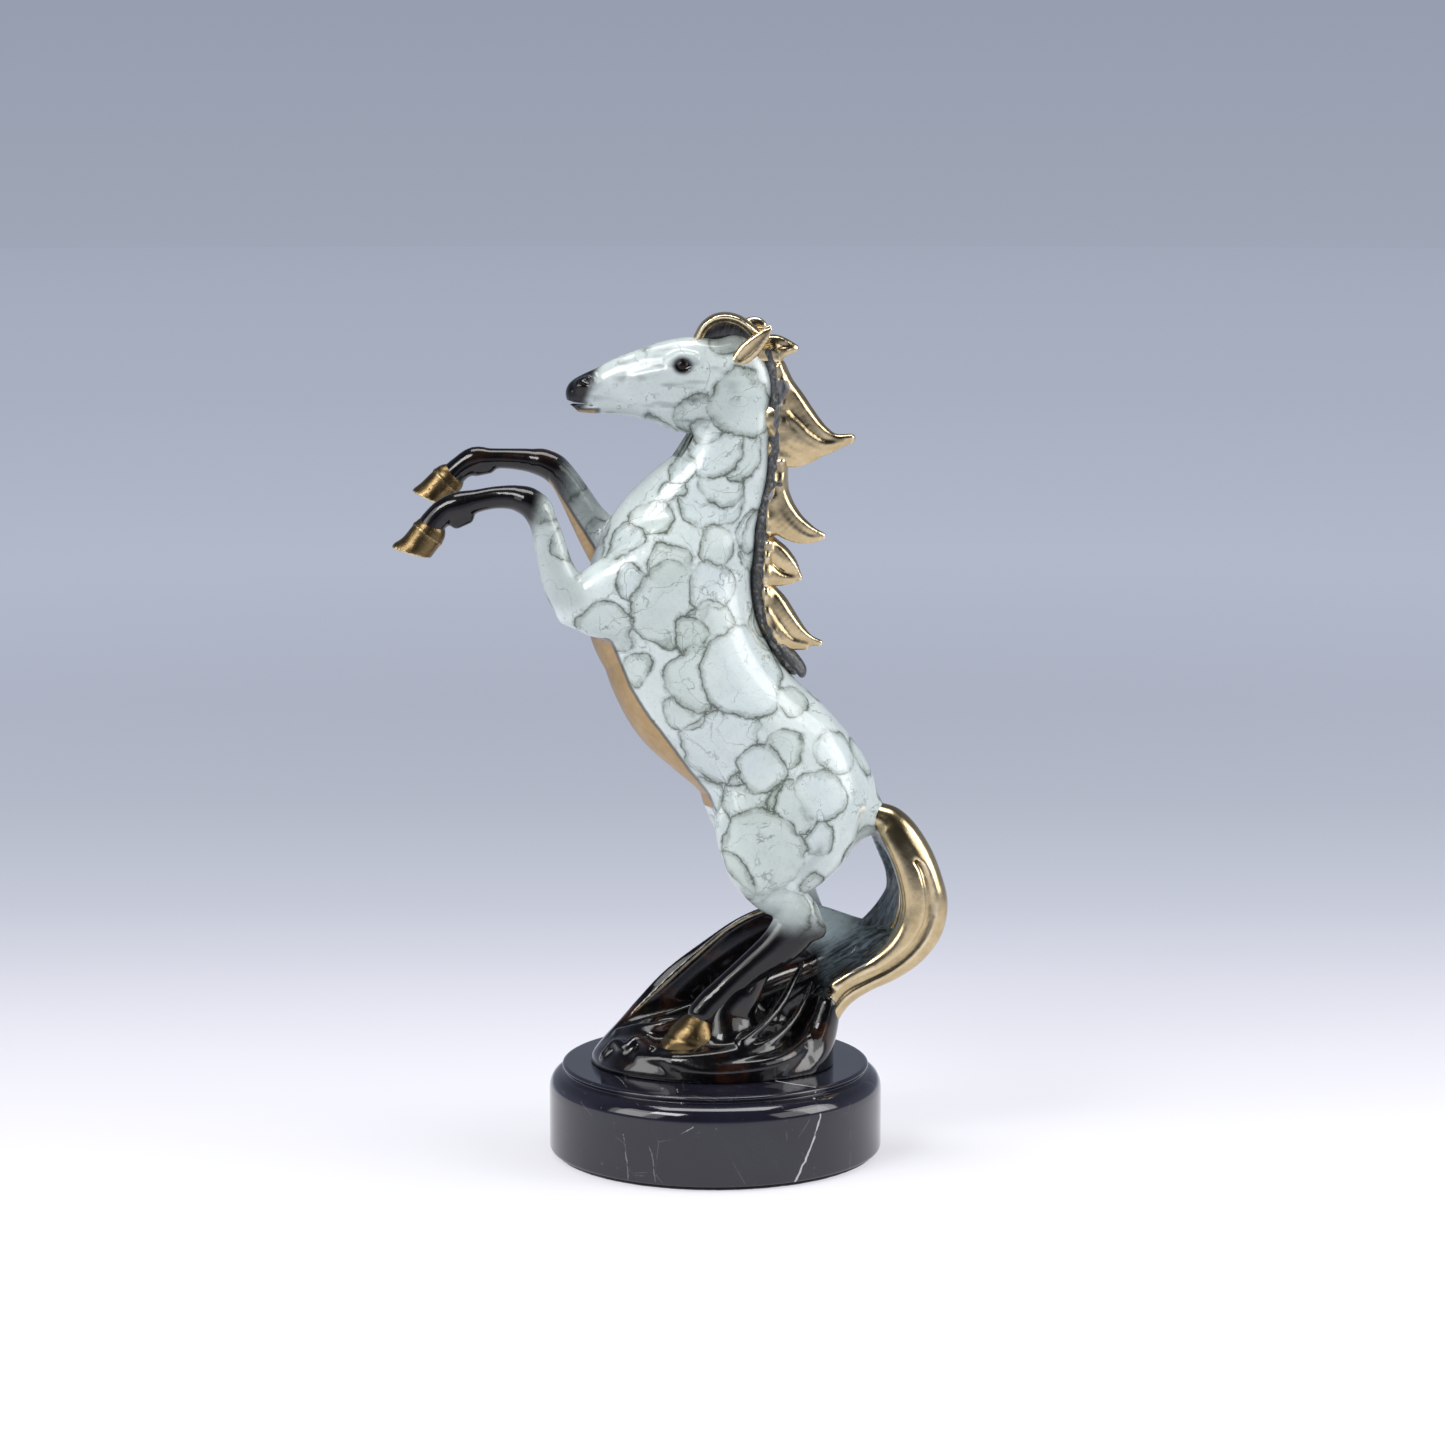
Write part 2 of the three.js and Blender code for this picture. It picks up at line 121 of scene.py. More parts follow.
class Limb:
    """A limb through stations [x, y, z, half across, half lateral]; lateral lies along Y."""

    def __init__(self, stations, per=4):
        s = spline([[*row[:4], row[4] if len(row) > 4 else row[3]] for row in stations], per)
        self.start, end = s[:-1].astype(np.float32), s[1:].astype(np.float32)
        self.step = end - self.start
        self.axis = self.step[:, :3]
        self.length2 = np.maximum((self.axis**2).sum(1), 1e-9)
        direction = self.axis / np.sqrt(self.length2)[:, None]
        side = np.array([0.0, 1.0, 0.0], np.float32) - direction * direction[:, 1:2]
        self.side = side / np.linalg.norm(side, axis=1)[:, None]

    def to_segments(self, points, which):
        """Roughly the distance from each point to the skin round each segment of `which`."""
        offset = points - self.start[which, :3]
        along = (offset * self.axis[which]).sum(-1) / self.length2[which]
        along = np.clip(along, 0.0, 1.0)
        offset = offset - along[..., None] * self.axis[which]
        lateral = (offset * self.side[which]).sum(-1)
        lateral2 = lateral * lateral
        across2 = np.maximum((offset * offset).sum(-1) - lateral2, 0.0)
        half_a2 = (self.start[which, 3] + along * self.step[which, 3]) ** 2
        half_b2 = (self.start[which, 4] + along * self.step[which, 4]) ** 2
        across2, lateral2 = across2 / half_a2, lateral2 / half_b2
        k0 = np.sqrt(across2 + lateral2)
        k1 = np.sqrt(across2 / half_a2 + lateral2 / half_b2) + 1e-6
        deep = np.sqrt(np.minimum(half_a2, half_b2)) * (k0 - 1.0)
        return np.where(k0 < 0.5, deep, k0 * (k0 - 1.0) / k1)

    def distance(self, points, centre, radius):
        """Roughly the distance to the skin; None where the limb is nowhere near the points."""
        rough = self.to_segments(centre, np.arange(len(self.axis)))
        if rough.min() > FAR + 1.3 * radius:
            return None
        best = None
        for i in np.nonzero(rough <= rough.min() + 2.2 * radius)[0]:
            d = self.to_segments(points, i)
            best = d if best is None else np.minimum(best, d)
        return np.minimum(best, FAR)


def blended(a, b, width):
    """The nearer of two distances, with a fillet about `width` wide where they meet."""
    h = np.maximum(width - np.abs(a - b), 0.0) / width
    return np.minimum(a, b) - h * h * width * 0.25


def carved(body, tool, width):
    """body with tool cut out of it, with a rounded edge about `width` wide."""
    return -blended(-body, tool, width)


class Sculpt:
    """An ordered list of limbs joined to, or cut out of, the ones before them, then cut by planes."""

    def __init__(self):
        self.steps = []
        self.planes = []

    def add(self, stations, blend=4.0, per=4):
        self.steps.append((Limb(stations, per), blend, False))
        return self

    def cut(self, stations, blend=0.8, per=4):
        self.steps.append((Limb(stations, per), blend, True))
        return self

    def both(self, stations, blend=4.0, cut=False):
        for rows in (stations, mirrored(stations)):
            self.steps.append((Limb(rows), blend, cut))
        return self

    def slice(self, point, outward, edge=0.6):
        """Takes away what lies beyond the plane through the point."""
        outward = np.asarray(outward, float) / np.linalg.norm(outward)
        self.planes.append((np.asarray(point, float), outward, edge))
        return self

    def distance(self, points):
        low, high = points.min(0), points.max(0)
        centre = ((low + high) / 2).astype(np.float32)
        radius = float(np.linalg.norm(high - low)) / 2
        points = points.astype(np.float32)
        d = np.full(len(points), FAR, np.float32)
        for limb, width, is_cut in self.steps:
            other = limb.distance(points, centre, radius)
            if other is not None:
                d = carved(d, other, width) if is_cut else blended(d, other, width)
        for point, outward, edge in self.planes:
            d = carved(d, -(points - point) @ outward, edge)
        return d.astype(np.float32)


def sampled(sculpt, low, high, cell):
    """The sculpt's distance on a grid, worked out only near the skin."""
    low = np.asarray(low, float)
    counts = (np.ceil((np.asarray(high) - low) / cell / BLOCK).astype(int)) * BLOCK + 1
    values = np.full(counts, FAR, np.float32)
    reach = cell * BLOCK * math.sqrt(3) * 0.5
    local = np.stack(np.meshgrid(*[np.arange(BLOCK + 1)] * 3, indexing="ij"), -1).reshape(-1, 3) * cell
    blocks = (counts - 1) // BLOCK
    middle = np.stack(np.meshgrid(*[np.arange(n) for n in blocks], indexing="ij"), -1).reshape(-1, 3)
    centres = low + (middle + 0.5) * BLOCK * cell
    for corner, centre in zip(middle, centres):
        i, j, k = corner * BLOCK
        where = (slice(i, i + BLOCK + 1), slice(j, j + BLOCK + 1), slice(k, k + BLOCK + 1))
        at_centre = sculpt.distance(centre[None])[0]
        if abs(at_centre) > min(1.5 * reach + 1.0, FAR - 0.01):
            if at_centre < 0:
                values[where] = -FAR
            continue
        values[where] = sculpt.distance(low + corner * BLOCK * cell + local).reshape((BLOCK + 1,) * 3)
    return values, low


def skin(values, low, cell):
    """Quads through the zero level of a sampled distance: one vertex to each cell that it crosses."""
    inside = values < 0
    counts = values.shape
    cell_of, point_of, quads, sign = [], [], [], []
    for axis in range(3):
        first = [slice(None)] * 3
        second = [slice(None)] * 3
        first[axis], second[axis] = slice(0, -1), slice(1, None)
        crossing = np.nonzero(inside[tuple(first)] != inside[tuple(second)])
        base = np.stack(crossing, 1)
        ahead = base.copy()
        ahead[:, axis] += 1
        v0, v1 = values[tuple(base.T)], values[tuple(ahead.T)]
        point = base.astype(float)
        point[:, axis] += v0 / (v0 - v1)
        u, w = [(1, 2), (2, 0), (0, 1)][axis]
        around = []
        for du, dw in ((0, 0), (-1, 0), (-1, -1), (0, -1)):
            c = base.copy()
            c[:, u] += du
            c[:, w] += dw
            around.append((c[:, 0] * counts[1] + c[:, 1]) * counts[2] + c[:, 2])
        cell_of.extend(around)
        point_of.extend([point] * 4)
        quads.append(np.stack(around, 1))
        sign.append(v0 < v1)
    ids = np.concatenate(cell_of)
    unique, index = np.unique(ids, return_inverse=True)
    totals = np.stack([np.bincount(index, np.concatenate(point_of)[:, n]) for n in range(3)], 1)
    vertices = totals / np.bincount(index)[:, None]
    faces = np.searchsorted(unique, np.concatenate(quads))
    turned = np.concatenate(sign)
    faces[~turned] = faces[~turned][:, ::-1]
    return vertices * cell + low, faces


def neighbour_mean(values, faces):
    """The mean of each vertex's neighbours along the quads' edges."""
    total = np.zeros_like(values)
    count = np.zeros(len(values))
    for n in range(4):
        here, there = faces[:, n], faces[:, (n + 1) % 4]
        for axis in range(values.shape[1]):
            total[:, axis] += np.bincount(here, values[there, axis], len(values))
            total[:, axis] += np.bincount(there, values[here, axis], len(values))
        count += np.bincount(here, minlength=len(values)) + np.bincount(there, minlength=len(values))
    return total / count[:, None]


def relaxed(vertices, faces):
    """The surface without its grid's ripple; each pull inwards is undone by one outwards."""
    for _ in range(3):
        for pull in (0.5, -0.53):
            vertices = vertices + pull * (neighbour_mean(vertices, faces) - vertices)
    return vertices


def vertex_normals(vertices, faces):
    a, b, c, d = (vertices[faces[:, n]] for n in range(4))
    face = np.cross(c - a, d - b)
    normals = np.zeros_like(vertices)
    for n in range(4):
        np.add.at(normals, faces[:, n], face)
    return normals / np.maximum(np.linalg.norm(normals, axis=1, keepdims=True), 1e-12)


# ---------------------------------------------------------------- the horse

TRUNK = [
    [31, 0, 122, 20, 13], [28.5, 0, 131, 28, 18.5], [24.8, 0, 139.7, 30, 21.5],
    [20, 0, 149.6, 28.3, 22.5], [11.8, 0, 158.2, 27.5, 24], [2.3, 0, 167.5, 28.4, 25],
    [-5, 0, 176, 29.7, 25.5], [-10.3, 0, 185.9, 29.8, 25], [-13.4, 0, 194.7, 29.8, 24],
    [-16.5, 0, 203.6, 31, 22.5], [-17, 0, 212, 30.5, 21], [-15.5, 0, 221, 29, 19],
    [-12.4, 0, 229, 27.2, 17.5], [-7.3, 0, 239.5, 23.1, 15.3], [-1.1, 0, 249, 19.4, 13.3],
    [3.4, 0, 258, 16.5, 11.8], [5.7, 0, 266, 14.5, 10.8], [6.2, 0, 274, 14.4, 10],
    [6, 0, 284, 14, 9.5], [7, 0, 293, 11.5, 8.5], [7.5, 0, 299, 7.5, 6],
]
CROUP = [[30, 0, 146, 16, 17], [42, 0, 139.5, 14.5, 14], [51, 0, 132, 9.5, 9], [57, 0, 128, 6.5, 6.5]]
HEAD = [
    [9, 0, 288, 13, 8], [0, 0, 288.3, 16, 9.6], [-6, 0, 288.2, 17.4, 10.2],
    [-10, 0, 288, 17.6, 10.3], [-15, 0, 288.7, 16, 9.8], [-20, 0, 289, 14.4, 8.6],
    [-25, 0, 288.5, 12.9, 7.6], [-30, 0, 288.2, 11.6, 6.8], [-35, 0, 287.3, 10.2, 6.2],
    [-40, 0, 286.2, 8.8, 5.8], [-45, 0, 285.5, 7.4, 5.8], [-49, 0, 284.9, 5.9, 5.3],
    [-50.6, 0, 284.8, 3.6, 3.8],
]
FORELEG_LEFT = [
    [-8, -12, 229, 12, 7], [-18, -15, 221, 16, 9.5], [-30, -16.5, 213, 17, 9.8],
    [-40, -16, 210.1, 14, 9], [-46.6, -15.8, 209.6, 10.7, 8.5], [-51.8, -16, 211.6, 8.6, 8.2],
    [-55.8, -16, 216.4, 7.3, 7.2], [-58.3, -16, 223, 6.3, 6.3], [-60.3, -16, 230.7, 5.8, 5.6],
    [-62.3, -16, 238, 5.2, 5], [-65.6, -16, 244.8, 5.1, 5.1], [-71.2, -15.7, 247.7, 4.7, 4.8],
    [-79.1, -15.3, 248.1, 4.1, 3.8], [-87, -15, 246.7, 4.2, 4.0], [-93.5, -15, 244.8, 5.3, 4.6],
    [-98.6, -15, 242.9, 4.9, 4.4], [-102.4, -15, 239.4, 4.8, 4.7], [-104, -15, 236.8, 5.2, 4.9],
]
FORELEG_RIGHT = [
    [-8, 12, 232, 12, 7], [-19, 15, 226, 14.5, 9], [-29, 15.5, 223.5, 13.5, 9],
    [-36, 15, 225, 11, 8.2], [-41.5, 14.7, 229.6, 8.6, 7.6], [-47, 15, 236.8, 6.8, 6.5],
    [-52.1, 15, 245.6, 5.8, 5.6], [-57, 15, 253.3, 5.2, 5], [-61.5, 15, 257.3, 5, 4.9],
    [-68.8, 15, 259, 4.4, 4.5], [-76.8, 15, 259.7, 3.8, 3.7], [-83.9, 15, 259.7, 3.9, 3.7],
    [-89.5, 15, 259.2, 4.9, 4.3], [-95, 15, 256.0, 4.5, 4.3], [-99, 15, 252.2, 4.9, 4.8],
]
HIND_LEG = [
    [32, -11, 150, 16, 7.5], [29.5, -13, 141, 22, 11], [26.5, -15, 130, 26.5, 13],
    [23.5, -16, 120, 21.5, 12.5], [21, -17, 112.5, 16, 10.8], [22.7, -17, 104, 10.8, 8.6],
    [26.6, -17, 98.2, 7.7, 6.7], [30.4, -17, 91.2, 8.8, 6.2], [24.7, -17.5, 82.3, 7.6, 5.7],
    [14, -18, 73.6, 6, 5.2], [5, -19, 65.8, 5.6, 4.9], [-1, -20, 60.5, 5.6, 5.1],
    [-4.6, -20.7, 56.5, 5.6, 5.3],
]
EYE = (-11.8, -7.3, 295.7)


def horse():
    """The whole body, sculpted as one form before it is cut into castings."""
    body = Sculpt()
    body.add(TRUNK, per=6).add(CROUP, 10)
    body.both(HIND_LEG, 5)
    body.add(FORELEG_LEFT, 5).add(FORELEG_RIGHT, 5)
    # point of the elbow, the hocks, the fetlock ergots and the knees
    body.add([[-49.5, -16, 206.4, 5, 5], [-54.2, -16, 204.8, 3.2, 4]], 3)
    body.both([[32, -17, 94, 3.4, 3.4], [38, -17, 87.4, 3.3, 2.8]], 3)
    body.add([[-90.6, -15, 240.8, 2.6, 2.4], [-94.4, -15, 238.9, 2.4, 2.2]], 1.6)
    body.add([[-84.5, 15, 256.4, 2.4, 2.2], [-88.4, 15, 255.6, 2.3, 2]], 2)
    body.add([[-64.5, -16, 243.6, 4.6, 5.6], [-68.5, -16, 246.6, 4.4, 5.4]], 2.5)
    body.add([[-60, 15, 255.8, 4.4, 5.4], [-64.5, 15, 258.4, 4.2, 5.2]], 2.5)
    # groove in front of the hamstring, and the fold of the flank
    body.both([[38, -25.4, 118, 0.8], [33.6, -26.2, 112, 1.3], [31.2, -25.8, 105.6, 1.3],
               [32, -24.2, 99, 0.9]], 6, cut=True)
    body.both([[0, -19.5, 140, 1.6], [3.5, -23, 131, 1.6], [4, -24.5, 121, 1.2]], 4, cut=True)
    # head, cheeks, nostrils, lips and the bony crest under each eye
    body.add(HEAD, 3)
    body.both([[0, -7.2, 283.5, 5, 2.6], [-7, -8, 282.6, 7, 2.8], [-13.5, -7.2, 284.6, 5, 2.4]], 2.5)
    body.both([[-30, -5.9, 290.8, 1.0], [-23, -7.4, 292.6, 1.1], [-17, -8.6, 293.9, 1.0]], 2.5)
    body.both([[-45.5, -4.5, 289.6, 2.2], [-48.8, -4.1, 288, 2.3]], 2)
    body.add([[-44, 0, 279.9, 2.1, 3.6], [-49.3, 0, 280, 2.0, 3.2]], 1.2)
    body.cut([[-56, 0, 282.0, 0.4, 8], [-50.5, 0, 281.5, 0.35, 8], [-44.6, 0, 280.9, 0.25, 7]], 0.5)
    body.both([[-46.2, -6.0, 291.2, 1.0], [-44.6, -6.2, 289.6, 1.1], [-45.4, -6.2, 287.8, 0.9]], 1.4)
    body.both([[-49.4, -6.2, 289.9, 1.0], [-47.8, -6.8, 290, 1.5],
               [-46.6, -7.2, 289.2, 1.1]], 0.8, cut=True)
    # brow, lower lid and socket of each eye
    body.both([[-16.4, -7.9, 297.4, 1.1], [-12.6, -8.9, 299.3, 1.4], [-7.8, -9.2, 298.8, 1.2]], 2.5)
    body.both([[-15.4, -8.5, 293.5, 0.8], [-11.8, -9.2, 292.3, 0.9], [-8.2, -9.3, 293.8, 0.8]], 1.5)
    body.both([[-12.2, -10.9, 295.8, 1.9], [-11.4, -11.0, 295.7, 1.9]], 1.2, cut=True)
    return body


def part_of_horse(p):
    """Which casting each point of the body belongs to; the seams are chased flush on the real one."""
    x, y, z = p.T
    towards_muzzle = (x + 0.25) * -0.897 + (z - 286.5) * 0.442
    up_foreleg = (x + 42) * -0.57 + (z - 229.5) * 0.82
    above_withers = x * 0.22 + (z - 211.5) * 0.975
    part = np.where(above_withers > 0, "neck", "torso").astype(object)
    part[(z > 262) & (towards_muzzle > 0)] = "head"
    part[(z < 257) & (y < 0) & (x < -46)] = "foreleg_left"
    part[(z < 272) & (y > 5) & (x < -39.5) & (up_foreleg > 0)] = "foreleg_right"
    part[(z < 109) & (y < 0)] = "hind_leg_left"
    part[(z < 109) & (y >= 0)] = "hind_leg_right"
    return part


# ---------------------------------------------------------------- meshes

def cavity(vertices, faces, normals):
    """How far each point of a surface lies below (+) or above (-) its neighbourhood, in millimetres."""
    mean = vertices
    for _ in range(6):
        mean = mean + 0.5 * (neighbour_mean(mean, faces) - mean)
    return ((mean - vertices) * normals).sum(1)


def to_polyline(x, z, points):
    """Distance in the XZ plane to a polyline, positive on its left as it runs."""
    best = np.full(len(x), 1e9)
    sign = np.ones(len(x))
    for (x0, z0), (x1, z1) in zip(points[:-1], points[1:]):
        dx, dz = x1 - x0, z1 - z0
        along = np.clip(((x - x0) * dx + (z - z0) * dz) / (dx * dx + dz * dz), 0, 1)
        gap = np.hypot(x - x0 - along * dx, z - z0 - along * dz)
        nearer = gap < best
        side = np.sign(dx * (z - z0) - dz * (x - x0))
        best = np.where(nearer, gap, best)
        sign = np.where(nearer, side, sign)
    return best * sign


def make_piece(name, node, slot, vertices, faces, material, values=None, normals=None):
    """A mesh object in metres that stands for a CAD node, with one point attribute for each value."""
    mesh = bpy.data.meshes.new(name)
    mesh.from_pydata((np.asarray(vertices) * MM).tolist(), [], [list(f) for f in faces])
    mesh.polygons.foreach_set("use_smooth", np.ones(len(mesh.polygons), bool))
    for key, value in (values or {}).items():
        mesh.attributes.new(key, "FLOAT", "POINT").data.foreach_set("value", value.astype(np.float32))
    mesh.materials.append(material)
    mesh.update()
    if normals is not None:
        mesh.normals_split_custom_set_from_vertices(normals.tolist())
    piece = bpy.data.objects.new(name, mesh)
    bpy.context.scene.collection.objects.link(piece)
    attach(piece, "root")
    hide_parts(node)
    return piece


def cast(sculpt, low, high, cell):
    """The skin of a sculpt: vertices, faces, normals and cavity."""
    values, low = sampled(sculpt, low, high, cell)
    vertices, faces = skin(values, low, cell)
    vertices = relaxed(vertices, faces)
    normals = vertex_normals(vertices, faces)
    return vertices, faces, normals, cavity(vertices, faces, normals)


def cut_apart(vertices, faces, face_part):
    """Each part's own faces, closed with a fan across every seam."""
    edges = np.stack([faces, np.roll(faces, -1, axis=1)], -1).reshape(-1, 2)
    owner = face_part[np.repeat(np.arange(len(faces)), 4)]
    key = np.sort(edges, axis=1)
    order = np.lexsort((key[:, 1], key[:, 0]))
    pairs = order.reshape(-1, 2)
    seams = pairs[owner[pairs[:, 0]] != owner[pairs[:, 1]]]
    for name in sorted(set(face_part)):
        rims = {}
        for first, second in seams:
            for mine, other in ((first, second), (second, first)):
                if owner[mine] == name:
                    rims.setdefault(owner[other], []).append(edges[mine])
        own = faces[face_part == name]
        used, index = np.unique(own, return_inverse=True)
        place = {v: i for i, v in enumerate(used)}
        polygons = index.reshape(own.shape).tolist()
        hubs = []
        for rim in rims.values():
            hub = len(used) + len(hubs)
            hubs.append(vertices[np.unique(rim)].mean(0))
            polygons += [[place[b], place[a], hub] for a, b in rim]
        yield name, used, np.array(hubs).reshape(-1, 3), polygons


# ---------------------------------------------------------------- node materials

def rgb(r, g, b):
    """An sRGB colour, 0 to 255, as the linear values that shaders take."""
    linear = [(c / 255 / 12.92) if c <= 10 else ((c / 255 + 0.055) / 1.055) ** 2.4 for c in (r, g, b)]
    return (*linear, 1.0)


def add_node(tree, kind, inputs, output=0, **settings):
    """A node with its inputs set or linked; the output asked for comes back."""
    node = tree.nodes.new(kind)
    for key, value in settings.items():
        setattr(node, key, value)
    for key, value in inputs.items():
        if isinstance(value, bpy.types.NodeSocket):
            tree.links.new(value, node.inputs[key])
        else:
            node.inputs[key].default_value = value
    return node.outputs[output]


def add_ramp(tree, value, stops):
    """The colour at a 0 to 1 value, between stops of position and colour."""
    ramp = add_node(tree, "ShaderNodeValToRGB", {"Fac": value}).node
    elements = ramp.color_ramp.elements
    while len(elements) > 1:
        elements.remove(elements[-1])
    elements[0].position, elements[0].color = stops[0]
    for position, colour in stops[1:]:
        elements.new(position).color = colour
    return ramp.outputs["Color"]


class Look:
    """A node material on a Principled surface; each method adds a node and returns its output."""

    def __init__(self, name):
        self.material = bpy.data.materials.new(name)
        self.material.use_nodes = True
        self.tree = self.material.node_tree
        self.surface = self.tree.nodes["Principled BSDF"]
        coordinates = self.add("ShaderNodeTexCoord", {}, "Object")
        self.place = self.vector("SCALE", coordinates, scale=1 / MM)

    def add(self, kind, inputs, output=0, **settings):
        return add_node(self.tree, kind, inputs, output, **settings)

    def value(self, name):
        return self.add("ShaderNodeAttribute", {}, "Fac", attribute_name=name)

    def math(self, operation, *values, clamp=False):
        return self.add("ShaderNodeMath", dict(enumerate(values)), operation=operation, use_clamp=clamp)

    def plus(self, a, b):
        return self.math("ADD", a, b)

    def minus(self, a, b):
        return self.math("SUBTRACT", a, b)

    def times(self, a, b):
        return self.math("MULTIPLY", a, b)

    def larger(self, a, b):
        return self.math("MAXIMUM", a, b)

    def size_of(self, a):
        return self.math("ABSOLUTE", a)

    def vector(self, operation, *values, output=0, scale=None):
        inputs = dict(enumerate(values))
        if scale is not None:
            inputs["Scale"] = scale
        return self.add("ShaderNodeVectorMath", inputs, output, operation=operation)

    def step(self, low, high, value):
        """0 at low and 1 at high, softly; low may be the larger one."""
        return self.add(
            "ShaderNodeMapRange", {"Value": value, "From Min": low, "From Max": high},
            interpolation_type="SMOOTHSTEP")

    def spread(self, low, high, value):
        """A 0 to 1 value taken to low to high."""
        return self.add("ShaderNodeMapRange", {"Value": value, "To Min": low, "To Max": high})

    def mix(self, amount, first, second):
        return self.add("ShaderNodeMix", {0: amount, 6: first, 7: second}, 2, data_type="RGBA")

    def over(self, colour, paint, amount, share=1.0):
        """The colour with paint over it; at an amount of 1 the paint covers that share."""
        if share != 1.0:
            amount = self.times(amount, share)
        return self.mix(amount, colour, paint)

    def noise(self, size, detail=2.0, rough=0.5, warp=0.0, place=None):
        return self.add(
            "ShaderNodeTexNoise",
            {"Vector": place or self.place, "Scale": 1 / size, "Detail": detail,
             "Roughness": rough, "Distortion": warp})

    def cells(self, size, feature="F1", place=None):
        return self.add(
            "ShaderNodeTexVoronoi", {"Vector": place or self.place, "Scale": 1 / size}, "Distance",
            feature=feature)

    def stretched(self, x, y, z, turn=0.0):
        """Coordinates turned about Y, then squeezed: a pattern runs long where the factor is small."""
        turned = self.add(
            "ShaderNodeVectorRotate", {"Vector": self.place, "Angle": turn}, rotation_type="Y_AXIS")
        return self.vector("MULTIPLY", turned, (x, y, z))

    def bump(self, height, depth, strength=1.0, under=None):
        inputs = {"Height": height, "Distance": depth * MM, "Strength": strength}
        if under is not None:
            inputs["Normal"] = under
        return self.add("ShaderNodeBump", inputs)

    def finish(self, **inputs):
        """Sets or links the surface's inputs, named as in base_color."""
        for key, value in inputs.items():
            socket = self.surface.inputs[key.replace("_", " ").title().replace("Ior", "IOR")]
            if isinstance(value, bpy.types.NodeSocket):
                self.tree.links.new(value, socket)
            else:
                socket.default_value = value
        return self.material


def airbrushed(look, name, spread, size):
    """A point value roughened by noise."""
    drift = look.minus(look.noise(size, 4.0, 0.7), 0.5)
    return look.plus(look.value(name), look.times(drift, spread))


def bronze_colour(look, tarnish=0.0):
    """Waxed bronze: warm and a little uneven, with dark patina left in the hollows."""
    hollow = look.step(0.02, 0.16, airbrushed(look, "cavity", 0.06, 1.8))
    crest = look.step(-0.01, -0.12, look.value("cavity"))
    colour = look.mix(look.noise(7.0, 3.0, 0.6), rgb(172, 149, 108), rgb(226, 206, 166))
    colour = look.over(colour, rgb(248, 233, 202), crest)
    dirt = look.times(look.step(0.35, 0.65, look.noise(2.8, 5.0, 0.7, 0.4)), tarnish)
    colour = look.over(colour, rgb(70, 56, 34), dirt)
    colour = look.over(colour, rgb(58, 46, 28), hollow, 0.85)
    return colour, look.larger(hollow, dirt)


def bronze_bump(look):
    brushed = look.noise(0.45, 2.0, 0.6, place=look.stretched(1.0, 0.8, 0.14))
    soft = look.noise(3.0, 2.0)
    return look.bump(look.plus(look.times(brushed, 0.16), look.times(soft, 0.6)), 0.10)


def bronze():
    look = Look("polished_bronze")
    colour, hollow = bronze_colour(look, 0.15)
    rough = look.plus(look.spread(0.17, 0.28, look.noise(2.4, 3.0)), look.times(hollow, 0.25))
    return look.finish(base_color=colour, metallic=1.0, roughness=rough, normal=bronze_bump(look))


def hoof_bronze():
    """Bronze left brown by the patina, rubbed bright along its edges."""
    look = Look("hoof_bronze")
    colour = look.mix(look.noise(5.0, 3.0, 0.6), rgb(72, 60, 42), rgb(140, 118, 82))
    hollow = look.step(0.02, 0.16, look.value("cavity"))
    colour = look.over(colour, rgb(232, 208, 160), look.step(-0.02, -0.12, look.value("cavity")))
    colour = look.over(colour, rgb(44, 34, 22), hollow, 0.8)
    pit = look.step(0.2, 0.08, look.cells(1.9))
    colour = look.over(colour, rgb(40, 32, 22), pit, 0.6)
    bump = look.bump(look.minus(look.noise(1.6, 4.0, 0.6), pit), 0.12, 0.6)
    return look.finish(base_color=colour, metallic=1.0, normal=bump,
                       roughness=look.spread(0.24, 0.40, look.noise(3.0, 3.0)))


def stains(look):
    """Jagged rings that pigment left where drops of enamel dried, and their darker inner side."""
    wobble = look.minus(look.noise(1.2, 5.0, 0.7), 0.5)
    ring = look.plus(look.value("ring"), look.times(wobble, 2.4))
    away = look.size_of(ring)
    strength = look.spread(0.2, 1.0, look.step(0.34, 0.56, look.noise(10.0, 3.0, 0.6)))
    core = look.step(look.spread(0.3, 1.2, look.noise(2.6, 3.0, 0.6)), 0.05, away)
    halo = look.step(look.spread(0.6, 2.6, look.noise(5.0, 3.0, 0.6)), 0.2, away)
    crackle = look.size_of(look.minus(look.noise(15.0, 5.0, 0.55, 0.3), 0.5))
    crackle = look.times(look.step(0.016, 0.002, crackle), look.step(0.38, 0.6, look.noise(6.0, 2.0)))
    second = look.step(0.4, 0.05, look.size_of(look.plus(ring, 1.5)))
    line = look.larger(core, look.times(halo, 0.5))
    line = look.larger(line, look.times(second, 0.28))
    line = look.larger(line, look.times(crackle, 0.6))
    inner = look.times(look.step(-3.4, -0.1, ring), look.step(0.5, -0.1, ring))
    return look.times(line, strength), look.times(inner, strength)


